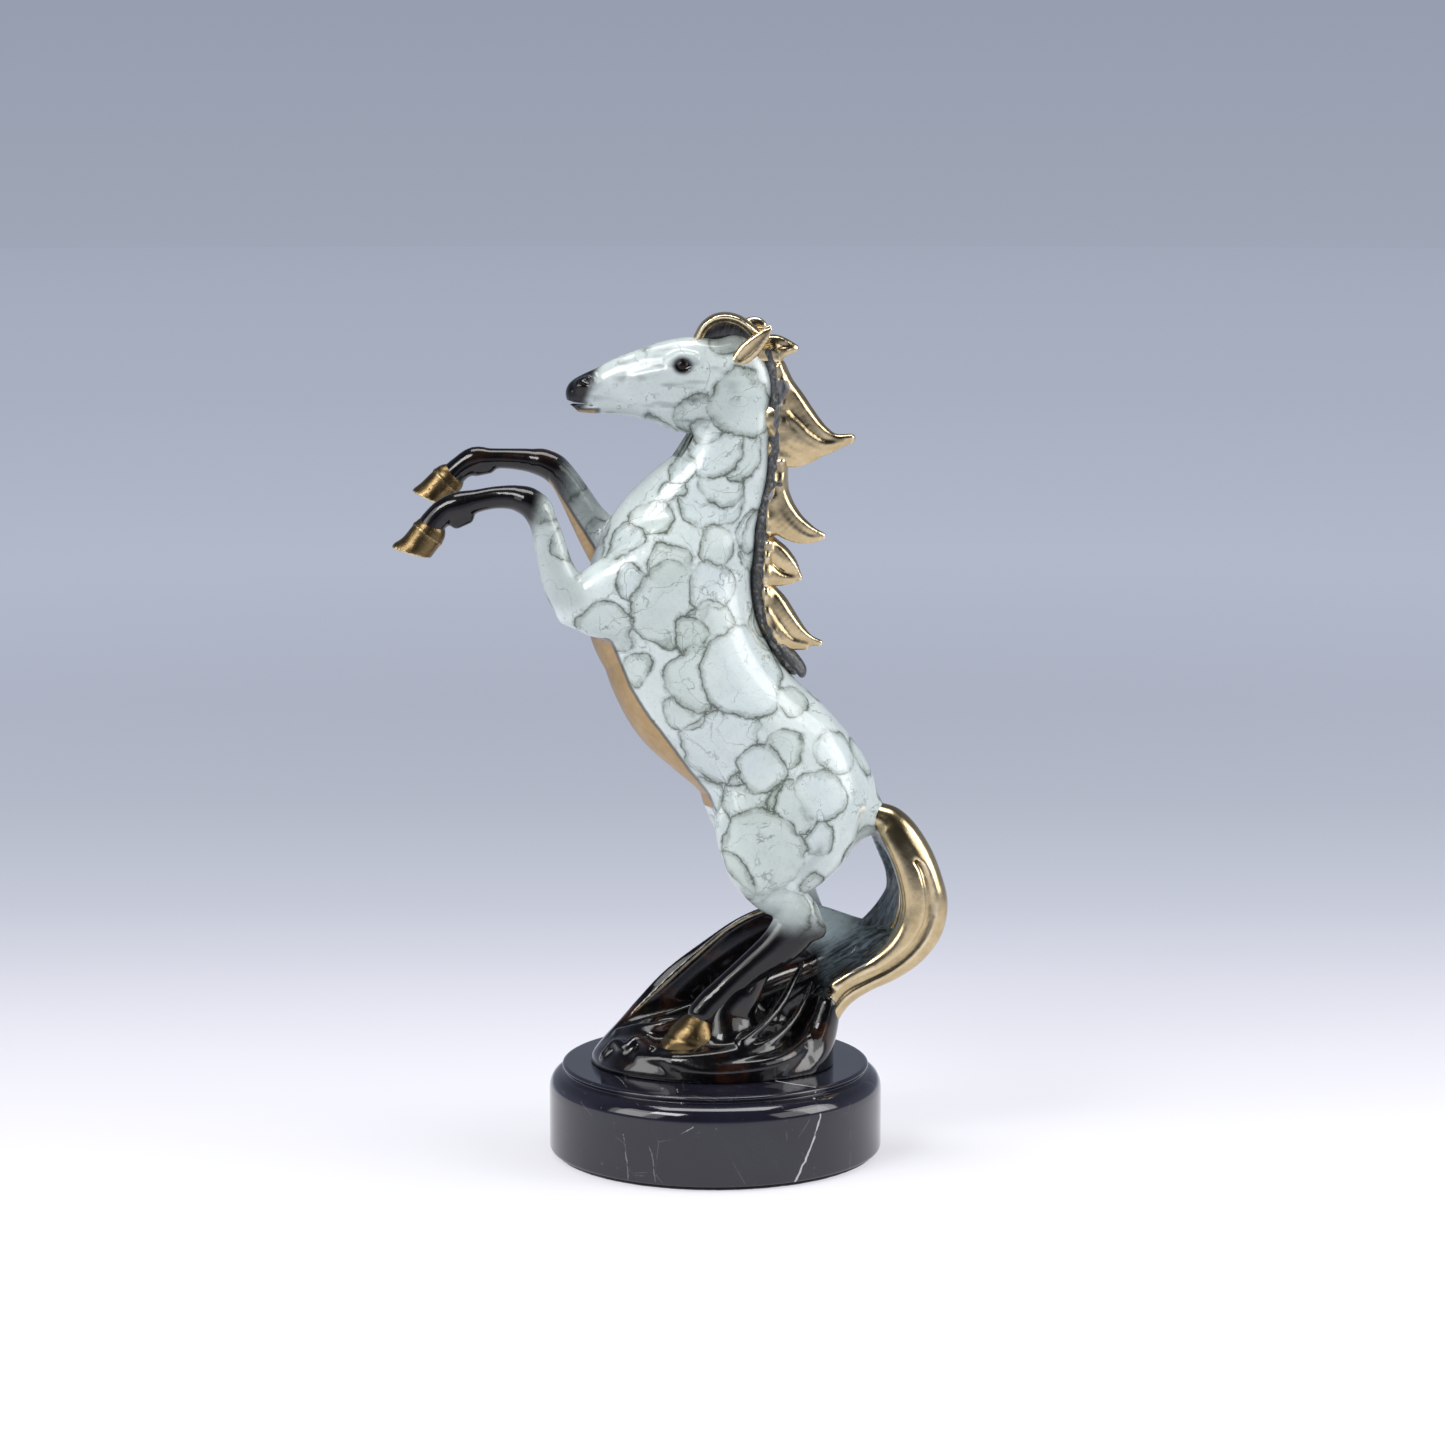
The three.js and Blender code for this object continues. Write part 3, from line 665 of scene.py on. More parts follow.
def enamel():
    """Pale mint kiln enamel, airbrushed to black on legs and muzzle, with bare bronze where it stops."""
    look = Look("mint_enamel")
    line, inner = stains(look)
    tint = look.value("tint")
    grain = look.step(0.50, 0.74, look.noise(0.8, 5.0, 0.8))
    film = look.step(0.50, 0.80, look.noise(4.0, 6.0, 0.8, 0.5))
    spot = look.times(look.step(0.13, 0.05, look.cells(2.6)), look.step(0.55, 0.66, look.noise(6.0, 1.0)))
    # painted shade: the enamel is darkened grey in creases and hollows, by the cavity value
    crease_shade = look.step(0.04, 0.30, look.value("cavity"))
    colour = look.mix(look.noise(12.0, 4.0, 0.6), rgb(182, 196, 193), rgb(229, 236, 235))
    colour = look.over(colour, rgb(186, 199, 190), look.step(0.0, 0.9, tint), 0.6)
    colour = look.over(colour, rgb(205, 217, 219), look.step(0.0, -0.9, tint), 0.7)
    colour = look.over(colour, rgb(124, 136, 131), grain, 0.30)
    colour = look.over(colour, rgb(140, 152, 150), film, 0.35)
    colour = look.over(colour, rgb(134, 148, 136), inner, 0.42)
    colour = look.over(colour, rgb(72, 79, 68), line, 0.9)
    colour = look.over(colour, rgb(58, 66, 60), spot)
    # painted shade laid into the creases
    colour = look.over(colour, rgb(78, 86, 86), crease_shade, 0.7)
    drift = look.spread(0.7, 1.3, look.noise(3.0, 4.0, 0.7))
    # grey haze and face streaks, with painted shade on the chest front, near arm and poll
    shade = look.math("MULTIPLY", look.value("shade"), drift, clamp=True)
    colour = look.over(colour, rgb(66, 72, 75), shade)
    black = look.step(0.06, 0.94, airbrushed(look, "black", 0.14, 2.0))
    brown = look.mix(look.step(0.56, 0.76, look.noise(16.0, 2.0)), rgb(9, 8, 10), rgb(36, 21, 14))
    colour = look.over(colour, brown, black)
    edge = airbrushed(look, "bare", 0.5, 2.5)
    gold = look.step(-0.1, 0.15, edge)
    rim = look.step(1.0, 0.2, look.size_of(look.plus(edge, 0.2)))
    metal, _ = bronze_colour(look)
    metal = look.over(metal, rgb(150, 112, 68), look.spread(0.25, 0.7, look.noise(3.0, 4.0, 0.7)))
    colour = look.over(colour, metal, gold)
    colour = look.over(colour, rgb(50, 45, 38), rim, 0.85)
    bare = look.times(gold, look.minus(1.0, rim))
    ripple = look.bump(look.noise(5.0, 3.0, 0.5), 0.16, look.spread(0.8, 0.25, black))
    surface = look.bump(look.minus(1.0, look.larger(line, spot)), 0.05, 0.6, ripple)
    return look.finish(
        base_color=colour, metallic=bare, normal=surface, roughness=look.spread(0.30, 0.36, bare),
        specular_ior_level=look.spread(0.4, 0.1, black), coat_weight=look.minus(1.0, bare),
        coat_roughness=look.spread(0.07, 0.015, black), coat_ior=look.spread(1.36, 1.44, black))


def black_enamel():
    """Thick black enamel over the ground, brown where it ran thin, worn to bronze on sharp ridges."""
    look = Look("black_enamel")
    thin = look.step(0.52, 0.74, look.noise(13.0, 3.0, 0.6, 0.6))
    colour = look.mix(thin, rgb(8, 7, 9), rgb(52, 28, 15))
    blue = look.step(0.58, 0.78, look.noise(9.0, 2.0, 0.5, 0.8))
    colour = look.over(colour, rgb(24, 29, 42), blue, 0.6)
    streak = look.step(0.34, 0.68, look.noise(1.5, 5.0, 0.7, 0.5, look.stretched(0.16, 0.8, 1.0, 0.52)))
    trough = look.step(0.2, 0.9, airbrushed(look, "trough", 0.5, 2.4))
    colour = look.over(colour, look.mix(streak, rgb(26, 32, 37), rgb(128, 144, 152)), trough)
    pale = look.step(0.0, 0.9, airbrushed(look, "pale", 0.35, 2.0))
    colour = look.over(colour, rgb(188, 205, 208), pale)
    worn = look.step(0.4, 0.75, airbrushed(look, "worn", 0.35, 3.0))
    metal, _ = bronze_colour(look)
    colour = look.over(colour, metal, worn, 0.92)
    pocked = look.times(look.step(0.45, 0.2, look.cells(1.7)), look.value("rough"))
    ripple = look.bump(look.noise(4.0, 3.0, 0.5, 0.3), 0.35, 0.4)
    ripple = look.bump(look.plus(pocked, look.times(streak, trough)), 0.35, 0.8, ripple)
    return look.finish(
        base_color=colour, metallic=look.times(worn, 0.9), normal=ripple,
        roughness=look.spread(0.22, 0.42, look.larger(worn, trough)), specular_ior_level=0.2,
        coat_weight=look.minus(1.0, look.times(trough, 0.6)), coat_roughness=0.015, coat_ior=1.42)


def patina():
    """Dark grey chemical patina on rough cast bronze, rubbed paler on its high points."""
    look = Look("dark_patina")
    rough = look.noise(1.3, 5.0, 0.7)
    colour = look.mix(rough, rgb(30, 30, 32), rgb(92, 92, 94))
    rubbed = look.step(-0.02, -0.12, look.value("cavity"))
    colour = look.over(colour, rgb(150, 150, 150), rubbed, 0.7)
    colour = look.over(colour, rgb(104, 90, 66), look.step(0.6, 0.72, look.noise(4.0, 2.0)))
    bump = look.bump(look.plus(rough, look.cells(0.9)), 0.3, 0.8)
    return look.finish(base_color=colour, metallic=0.35, roughness=0.42, normal=bump,
                       coat_weight=0.35, coat_roughness=0.2)


def hair_bronze(name, low, high):
    """Polished bronze outside; streaked patina that fades to black down the hollows."""
    look = Look(name)
    colour, hollow = bronze_colour(look, 0.1)
    inside = look.step(0.35, 0.65, airbrushed(look, "trough", 0.35, 1.6))
    streak = look.noise(1.5, 5.0, 0.7, 0.5, look.stretched(1.0, 0.8, 0.16, -0.35))
    grey = look.mix(look.step(0.34, 0.68, streak), low, high)
    grey = look.over(grey, rgb(12, 12, 14), look.value("black"))
    colour = look.over(colour, grey, inside)
    rough = look.plus(look.spread(0.21, 0.40, inside), look.times(hollow, 0.2))
    return look.finish(
        base_color=colour, metallic=look.minus(1.0, look.times(inside, 0.85)), roughness=rough,
        normal=bronze_bump(look), coat_weight=look.times(inside, 0.6), coat_roughness=0.1)


def eye_gloss():
    look = Look("eye_enamel")
    colour = look.mix(look.noise(0.6, 3.0), rgb(8, 7, 8), rgb(30, 20, 14))
    return look.finish(base_color=colour, roughness=0.3, specular_ior_level=0.15,
                       coat_weight=0.4, coat_roughness=0.04, coat_ior=1.4)


# White veins in the marble: width in millimetres, strength, and the points that each runs through
VEINS = [
    (0.85, 0.95, [(8, -20, 34), (23.4, -33.8, 34), (36.4, -42.3, 34), (36.6, -45.5, 31.5),
                  (35.7, -47, 28.5), (38.6, -48.8, 25.5), (36, -50.9, 17), (32.1, -53.5, 8),
                  (28.8, -55.4, 1), (27, -50, -6)]),
    (0.5, 0.45, [(-14, -45, 34), (-13, -53.6, 33.6), (-11.6, -56.8, 30), (-6.9, -60.5, 27),
                 (-7.8, -61.9, 24), (-12.5, -61.1, 21)]),
    (0.4, 0.3, [(-37, -26, 34), (-34.9, -31, 34), (-32.3, -42.4, 34), (-35, -45.5, 30),
                (-33, -52.9, 18.5), (-31.6, -53.8, 2.5)]),
    (0.35, 0.28, [(-24, -57.6, 16), (-22.7, -58.2, 13.3), (-21.8, -58.5, 3)]),
    (0.6, 0.6, [(40, 20, 34), (48, 28, 33), (50, 37, 24), (44, 44, 12), (47, 41, 0)]),
    (0.5, 0.5, [(-20, 40, 34), (-26, 52, 32), (-30, 54.6, 22), (-22, 58.5, 9), (-25, 57.2, 0)]),
]
VEIN_JAG = 1.5  # how far a vein strays to either side, in millimetres


def vein(look, points, width):
    """A line of white calcite through the stone along the points, thinning and thickening as it goes."""
    warp = look.add("ShaderNodeTexNoise", {"Vector": look.place, "Scale": 0.35, "Detail": 4.0}, "Color")
    warp = look.vector("SCALE", look.vector("SUBTRACT", warp, (0.5, 0.5, 0.5)), scale=VEIN_JAG)
    place = look.vector("ADD", look.place, warp)
    nearest = None
    for start, end in zip(points[:-1], points[1:]):
        run = np.array(end, float) - start
        offset = look.vector("SUBTRACT", place, start)
        along = look.vector("DOT_PRODUCT", offset, tuple(run), output="Value")
        along = look.math("DIVIDE", along, float(run @ run), clamp=True)
        gap = look.vector("SUBTRACT", offset, look.vector("SCALE", tuple(run), scale=along))
        gap = look.vector("LENGTH", gap, output="Value")
        nearest = gap if nearest is None else look.math("MINIMUM", nearest, gap)
    girth = look.times(look.spread(0.35, 1.0, look.noise(3.0, 3.0, 0.7)), width)
    return look.step(girth, look.times(girth, 0.4), nearest)


def marble():
    """Polished black marble: grey clouds, white veins, and flecks of calcite."""
    look = Look("marble")
    colour = look.mix(look.noise(22.0, 5.0, 0.65, 0.4), rgb(16, 16, 23), rgb(37, 37, 50))
    haze = look.step(0.60, 0.80, look.noise(6.0, 6.0, 0.75, 0.8))
    colour = look.over(colour, rgb(70, 70, 76), haze, 0.3)
    for width, strength, points in VEINS:
        colour = look.over(colour, rgb(196, 196, 200), vein(look, points, width), strength)
    shifted = look.vector("ADD", look.place, (7.0, 3.0, 11.0))
    hair = look.step(0.014, 0.0, look.cells(24.0, "DISTANCE_TO_EDGE", shifted))
    hair = look.times(hair, look.step(0.5, 0.62, look.noise(9.0, 3.0, 0.7)))
    colour = look.over(colour, rgb(150, 150, 154), hair, 0.16)
    fleck = look.times(look.step(0.16, 0.06, look.cells(3.4)), look.step(0.6, 0.7, look.noise(5.0, 2.0)))
    colour = look.over(colour, rgb(140, 140, 144), fleck, 0.5)
    return look.finish(
        base_color=colour, roughness=look.spread(0.06, 0.14, look.noise(4.0, 4.0, 0.7)),
        normal=look.bump(look.minus(1.0, fleck), 0.04, 0.5), specular_ior_level=0.5,
        coat_weight=0.25, coat_roughness=0.03)


def felt():
    look = Look("felt")
    fibre = look.noise(0.35, 5.0, 0.8, 0.6)
    colour = look.mix(fibre, rgb(14, 14, 15), rgb(48, 48, 50))
    return look.finish(base_color=colour, roughness=0.95, normal=look.bump(fibre, 0.25, 0.9),
                       sheen_weight=0.5, sheen_roughness=0.4)


def steel():
    """Zinc-plated steel, brushed round by the turning."""
    look = Look("zinc_steel")
    turned = look.noise(0.6, 3.0, 0.6, place=look.stretched(1.0, 1.0, 0.2))
    colour = look.mix(turned, rgb(168, 170, 174), rgb(206, 208, 212))
    return look.finish(base_color=colour, metallic=1.0, roughness=look.spread(0.24, 0.42, turned),
                       normal=look.bump(turned, 0.03, 0.6))


# ---------------------------------------------------------------- the horse's castings

RING_COUNT = 105
RING_SEED = 11
NO_RING = 9.0  # ring distance where no outline is near
NOT_BARE = -9.0  # distance inside the bare bronze, well away from it
# Rings on the left side that can be told apart: x, z and radius
NEAR_RINGS = [
    (-2, 249, 12.5), (2.6, 252.6, 8.4), (0.5, 229.8, 7.8), (-29.8, 217.8, 6), (-16.6, 225, 8.2),
    (-16.6, 209.4, 15), (-0.7, 216.6, 9), (-1, 199.8, 10.8), (-9.4, 198.6, 7), (2.6, 157.8, 15),
    (-11.8, 169.8, 7.4), (-7, 183, 11.5), (11.7, 185, 17.5), (27.8, 135, 8.4), (26.5, 156.3, 7),
    (39.5, 138.5, 10), (12.2, 138.6, 11), (16.3, 118.2, 15.5), (37.3, 123, 6), (-39.4, 200.6, 11),
    (-28.7, 185.3, 6.5), (44.6, 154.1, 8.4), (-54.5, 224.2, 7), (9.8, 262.2, 9.3), (-1, 265.8, 11),
    (-5.8, 275.9, 9), (9.6, 281.4, 12), (18.2, 149.4, 9.3),
    (5, 108.6, 11), (29.5, 172.7, 5.6), (13, 235, 8), (20, 200, 9), (-24, 240, 8),
]
# Where the bare belly ends on the horse's side, as x and z
BELLY_EDGE = [
    (-44, 201), (-38, 195), (-36, 190), (-34, 185), (-31, 178), (-28, 173), (-24, 167), (-20, 162),
    (-15, 155), (-10, 147.5), (-6, 142), (-3, 138), (0, 132),
]


def rings_on(vertices):
    """Centre and radius of every stain ring: the listed ones, then scattered ones on the rest."""
    rings = []
    near = vertices[vertices[:, 1] < -2]
    for x, z, radius in NEAR_RINGS:
        spot = near[np.argmin((near[:, 0] - x) ** 2 + (near[:, 2] - z) ** 2)]
        rings.append((spot, radius))
    chance = np.random.default_rng(RING_SEED)
    others = vertices[(vertices[:, 2] < 276) | (vertices[:, 0] > 2)]
    while len(rings) < RING_COUNT:
        spot = others[chance.integers(len(others))]
        radius = chance.uniform(4.5, 13) * (0.6 if spot[2] > 262 else 1.0)
        crowding = sum(np.linalg.norm(spot - centre) < 0.62 * (radius + other) for centre, other in rings)
        if crowding < (2 if spot[1] > -2 else 1):
            rings.append((spot, radius))
    return rings


def ring_values(vertices):
    """Distance to the nearest ring's outline, negative inside it, and how the overlapping rings tint."""
    lump = np.stack([noise(vertices, 8.0, seed) for seed in (3, 4, 5)], 1)
    ripple = np.stack([noise(vertices, 2.8, seed) for seed in (6, 7, 8)], 1)
    warped = vertices + 2.4 * lump + 0.8 * ripple
    ring = np.full(len(vertices), NO_RING)
    tint = np.zeros(len(vertices))
    for n, (centre, radius) in enumerate(rings_on(vertices)):
        d = np.linalg.norm(warped - centre, axis=1) - radius
        if n % 3 != 1:  # an opaque drop hides the outlines under it
            ring = np.where(d < -0.9, NO_RING, ring)
        ring = np.where(np.abs(d) < np.abs(ring), d, ring)
        tint += smooth(0.3, -0.3, d) * (0.5 if n % 3 else -0.5)
    return ring, np.clip(tint, -1, 1)


def black_on_horse(vertices):
    """Where the enamel turns black: the forelegs, below the hocks, the muzzle and round the eyes."""
    x, y, z = vertices.T
    near_leg = smooth(57.5, 69.5, -x + 0.35 * (z - 245)) * (y < 0)
    far_leg = smooth(46, 62, -x) * (y > 5) * (z < 275)
    hocks = smooth(97, 82, z)
    muzzle = smooth(-42.5, -49.5, x - 0.35 * (z - 285)) * (z > 272) * (np.abs(y) < 12)
    eye = smooth(5.6, 1.7, np.hypot(x - EYE[0], 1.15 * (z - EYE[2]))) * (np.abs(y) > 4)
    return np.maximum.reduce([near_leg * (z < 260), far_leg, hocks, muzzle, eye * (z > 280)])


def bare_on_horse(vertices, normals):
    """Distance inside the bare bronze: the belly, the inside of the right foreleg and the lower lip."""
    x, y, z = vertices.T
    belly = to_polyline(x, z, BELLY_EDGE[::-1])
    belly = np.minimum(belly, (196 - z) * 0.5)
    belly = np.where((z < 197) & (z > 132) & (np.abs(y) < 21), belly, NOT_BARE)
    strip = (x + 40.4) * -0.839 + (z - 228.5) * -0.546 - 4.6
    strip = np.where((x > -62) & (x < -34) & (z > 218) & (z < 258) & (y > 5), strip, NOT_BARE)
    lip = np.minimum((279.2 - z) * 1.2, (-43.5 - x) * 0.6)
    lip = np.where((x < -40) & (z > 270) & (normals[:, 2] < 0.2), lip, NOT_BARE)
    return np.maximum.reduce([belly, strip, lip])


def haze_and_shade_on_horse(vertices, normals):
    """Grey haze on the far foreleg and the hocks, a grey veil with streaks on the face, and painted shade
    on the chest's front where it faces forward, on the near arm and on the poll under the forelock.
    """
    x, y, z = vertices.T
    far_leg = 0.55 * smooth(34, 46, -x) * (y > 6) * smooth(276, 268, z)
    hock = 0.35 * smooth(104, 90, z)
    # painted shade under the forelock's arch
    poll = 0.5 * smooth(9, 3, np.hypot(x - 5, z - 305))
    # painted shade on the near upper arm
    near_arm = 0.25 * smooth(-42, -52, x) * (y < 0) * smooth(204, 212, z) * smooth(256, 248, z)
    streaks = 0.6 * noise(vertices * [0.3, 1, 1], 2.6, 45) + 0.4 * noise(vertices * [0.3, 1, 1], 1.3, 46)
    face = (0.16 + 0.34 * smooth(0.05, 0.6, streaks)) * smooth(266, 276, z) * smooth(12, 4, x)
    # painted shade: the chest goes darker where its front faces forward and down
    chest = 0.6 * smooth(-0.72, -0.95, normals[:, 0] + 0.25 * normals[:, 2])
    chest = chest * smooth(212, 222, z) * smooth(272, 264, z) * (x > -52)
    return np.maximum.reduce([far_leg, hock, poll, chest, near_arm, face])


def cast_horse(look):
    """The whole body as one skin, cut into its castings, with the enamel's values on its points."""
    vertices, faces, normals, hollow = cast(horse(), (-112, -34, 48), (72, 34, 314), CELL)
    ring, tint = ring_values(vertices)
    values = {
        "ring": ring, "tint": tint, "cavity": hollow, "black": black_on_horse(vertices),
        "bare": bare_on_horse(vertices, normals), "shade": haze_and_shade_on_horse(vertices, normals),
    }
    face_part = part_of_horse(vertices[faces].mean(1))
    for node, used, hubs, polygons in cut_apart(vertices, faces, face_part):
        own = {key: np.append(value[used], np.zeros(len(hubs))) for key, value in values.items()}
        up = np.vstack([normals[used], np.zeros((len(hubs), 3))])
        slot = "black_enamel" if node == "foreleg_right" else "mint_enamel"
        points = np.vstack([vertices[used], hubs])
        make_piece(node + "_casting", node, slot, points, polygons, look, own, up)


def cast_one(node, slot, sculpt, low, high, cell, look, extra=None, rough=0.0):
    """One casting from its own sculpt, with `rough` millimetres of cast texture on its skin."""
    vertices, faces, normals, hollow = cast(sculpt, low, high, cell)
    if rough:
        lumps = 0.6 * noise(vertices, 2.4, 21) + 0.4 * noise(vertices, 1.1, 22)
        vertices = vertices + normals * (rough * lumps)[:, None]
        normals = vertex_normals(vertices, faces)
        hollow = cavity(vertices, faces, normals)
    values = {"cavity": hollow}
    if extra:
        values.update(extra(vertices, normals))
    return make_piece(node + "_casting", node, slot, vertices, faces, look, values, normals)


# ---------------------------------------------------------------- hooves, eyes, ears

def fore_hoof(side):
    """Each fore hoof: wall, coronet bead, toe, and a hollow sole."""
    if side == "left":
        top, sole, toe = np.array([[-104.6, -15, 235.2], [-110.6, -15, 227.6], [-116, -15, 229.4]])
        outward = np.array([-0.27, 0, -0.96])
    else:
        top, sole, toe = np.array([[-99.8, 15, 251.6], [-106.6, 15, 244.8], [-110.8, 15, 246.2]])
        outward = np.array([-0.42, 0, -0.91])
    hoof = Sculpt()
    hoof.add([[*top, 6.1, 5.4], [*(0.5 * top + 0.5 * sole), 6.2, 6.0], [*sole, 6.2, 6.4]], 1)
    hoof.add([[*sole, 4.4, 5.4], [*toe, 1.9, 3.6]], 3)
    lean = (top - sole) / np.linalg.norm(top - sole)
    across = np.array([-lean[2], 0, lean[0]])
    lateral = np.array([0, 1, 0])
    centre = top - 0.6 * lean
    bead = [[*(centre + 5.9 * math.cos(a) * across + 5.1 * math.sin(a) * lateral), 0.5]
            for a in np.linspace(0, 2 * np.pi, 13)]
    hoof.add(bead, 0.8, per=2)
    hollow = sole + 1.5 * outward
    hoof.cut([[*(hollow + [3.0, 0, 0]), 2.0, 3.4], [*(hollow - [3.4, 0, 0]), 1.6, 2.6]], 0.8)
    hoof.slice(sole, outward, 0.5)
    return hoof, np.minimum(top, sole) - 11, np.maximum(top, sole) + 11


def hind_hoof(y):
    """A hind hoof planted in the ground: a low domed wall that runs out to the toe."""
    hoof = Sculpt()
    hoof.add([[-6.6, 20.9 * y, 54.0, 3.4, 4.4], [-7.4, 21.7 * y, 50.0, 7.2, 7.2],
              [-8.8, 22.3 * y, 45.4, 9.8, 8.8]], 2)
    hoof.add([[-9, 22 * y, 48, 5, 6], [-17.5, 22.6 * y, 43.8, 3.2, 5.4]], 4)
    hoof.slice((0, 0, 41), (-0.1, 0, -1), 0.8)
    return hoof, np.array([-26, 22 * y - 13, 38]), np.array([6, 22 * y + 13, 64])


def ear(y):
    """A pricked ear: a curved leaf with a rolled rim and a hollow open to the side."""
    leaf = Sculpt()
    leaf.add([[7.4, 6.4 * y, 296.4, 2.6, 2.0], [12, 7.8 * y, 300.8, 3.6, 1.9],
              [16.6, 8.6 * y, 305.4, 2.6, 1.4], [20.2, 8.9 * y, 308.8, 0.7, 0.6]], 1)
    leaf.cut([[9.0, 10.8 * y, 297.8, 2.2, 2.4], [12.8, 11.6 * y, 301.4, 2.9, 2.6],
              [16.8, 11.6 * y, 305.4, 1.9, 2.0], [19, 11 * y, 307.6, 0.5, 1.3]], 0.4)
    return leaf, np.array([2, min(3 * y, 13 * y), 290]), np.array([24, max(3 * y, 13 * y), 313])


def eyeball(side):
    """A glossy enamel bead a little flattened, set under the brow."""
    low, high = cad_box("eye_" + side)
    centre = (low + high) / 2
    radius = (high[0] - low[0]) / 2
    mesh = bmesh.new()
    bmesh.ops.create_icosphere(mesh, subdivisions=4, radius=1.0)
    points = np.array([v.co for v in mesh.verts])
    faces = [[v.index for v in f.verts] for f in mesh.faces]
    mesh.free()
    bulge = 1.0 - 0.06 * points[:, 2:] ** 2
    return points * bulge * [0.82 * radius, 0.62 * radius, 0.82 * radius] + centre, faces


# ---------------------------------------------------------------- mane, forelock

STRANDS = 2  # ridges laid over each part of a lock


def strands(rows):
    """Ridges of hair that run down a lock and turn a little round it on the way."""
    made = []
    for n in range(STRANDS):
        line = []
        for m, (x, y, z, across, lateral) in enumerate(rows):
            turn = math.pi * (n + 0.5) / STRANDS + 0.5 * m / len(rows)
            line.append([x + 0.25 * across * math.cos(turn), y - 0.86 * lateral * math.sin(turn),
                         z + 0.86 * across * math.cos(turn), max(0.5, 0.9 * min(1, across / 6))])
        made.append(line)
    return made


# The parts of each lock, from the crest to the tip
LOCKS = {
    "mane_lock_1": [
        [[17, 0, 302.5, 3.6, 4.4], [21.5, -0.4, 303.6, 3.0, 3.6], [25.8, -0.5, 302.9, 2.2, 2.4],
         [29.6, -0.6, 301.6, 0.8, 0.9]],
        [[17, -2, 299.5, 3, 2.5], [21.5, -2.6, 299.2, 2, 2], [25.6, -2.4, 300.3, 1.1, 1.2],
         [28.6, -1.4, 301.2, 0.6, 0.6]],
    ],
    "mane_lock_2": [
        [[22.2, 0, 292, 4.2, 4.6], [25.4, -0.6, 287, 4.4, 4.6], [29.2, -0.8, 281.5, 4.6, 4.2],
         [33.6, -1, 275.6, 4.2, 3.6], [38.6, -1, 270.8, 3.2, 3.0], [44, -1, 268.3, 2.0, 2.2],
         [50, -1, 268.5, 1.7, 1.7]],
        [[22, -1.2, 276, 6.5, 4.4], [28, -1.6, 270.5, 7.5, 4.4], [34, -1.5, 266.8, 5.2, 3.6],
         [40, -1.2, 265.3, 3, 2.6], [46, -1, 266.8, 1.5, 1.6]],
        [[21.5, -0.5, 264.8, 4.5, 4.2], [27, -0.8, 261.2, 3.4, 3.6], [32.4, -1, 260.4, 1.6, 2.0],
         [37, -1, 262, 0.8, 0.9]],
    ],
    "mane_lock_3": [
        [[21.6, 0, 260, 3.6, 4.4], [22.6, -0.5, 252.5, 3.8, 4.6], [24.8, -0.8, 244.6, 4.0, 4.4],
         [29.2, -1, 238.4, 3.4, 3.6], [34.8, -1, 234.4, 2.3, 2.5], [39.8, -1, 232.6, 0.8, 0.9]],
        [[20.5, -1.5, 246, 4.5, 3.8], [23.4, -2, 238.4, 4.6, 3.6], [28.6, -1.8, 233.8, 3.2, 2.8],
         [34, -1.4, 231.6, 1.6, 1.7], [38, -1.1, 231.8, 0.7, 0.8]],
    ],
    "mane_lock_4": [
        [[18.6, 0, 229, 4, 4.2], [23.2, -0.5, 226, 4, 3.8], [27.6, -0.9, 221.8, 3, 2.9],
         [31.2, -1, 217.2, 0.8, 0.9]],
        [[18.4, -1.6, 219.4, 4, 3.6], [23.4, -1.8, 216.8, 2.6, 2.6], [28.6, -1.2, 216.4, 1.1, 1.2]],
    ],
    "mane_lock_5": [
        [[18.2, 0, 212, 4, 4.4], [22.2, -0.5, 207.4, 4.6, 4.4], [26.4, -0.9, 201.6, 4.2, 3.8],
         [31, -1, 196.6, 3, 2.9], [35, -1, 194, 1.7, 1.8], [38.8, -1, 192.8, 0.8, 0.8]],
        [[18.6, -1.6, 202.5, 4, 3.6], [22.6, -2, 196.8, 4, 3.2], [27.8, -1.6, 192.9, 2.2, 2.3],
         [33.6, -1.2, 191.6, 1.0, 1.1]],
    ],
    "mane_lock_6": [
        [[24, 0, 189, 3.2, 3.6], [28, -0.4, 186.6, 3, 3], [31.6, -0.6, 183.6, 1.8, 1.9],
         [32.4, -0.6, 181.2, 1.0, 1.1]],
    ],
}


# Heights between which the root of each lock covers the back of the crest
ROOTS = {
    "mane_lock_1": (306, 297), "mane_lock_2": (296, 262), "mane_lock_3": (261, 232.5),
    "mane_lock_4": (231.5, 214.5), "mane_lock_5": (213.5, 193.5), "mane_lock_6": (192, 180),
}


def root_band(top, low):
    """The root of a lock, laid along the back half of the crest."""
    rows = [row for row in spline(CREST) if low < row[2] < top]
    return [[x + 2.3, y, z, 0.72 * across, lateral + 0.7 + 0.25 * math.sin(0.9 * z)]
            for x, y, z, across, lateral in rows]


def mane_lock(node):
    """A lock's root along the crest, the flames that stand off it, and the ridges over those."""
    band = root_band(*ROOTS[node])
    flames = LOCKS[node]
    lock = Sculpt()
    lock.add(band, 1, per=2)
    for rows in flames:
        lock.add(rows, 2.4)
    for rows in flames:
        for line in strands(rows):
            lock.add(line, 1.6, per=3)
    points = np.array([row[:3] for rows in [*flames, band] for row in rows])
    widest = max(row[3] for rows in flames for row in rows) + 2
    return lock, points.min(0) - widest - 1, points.max(0) + widest + 1


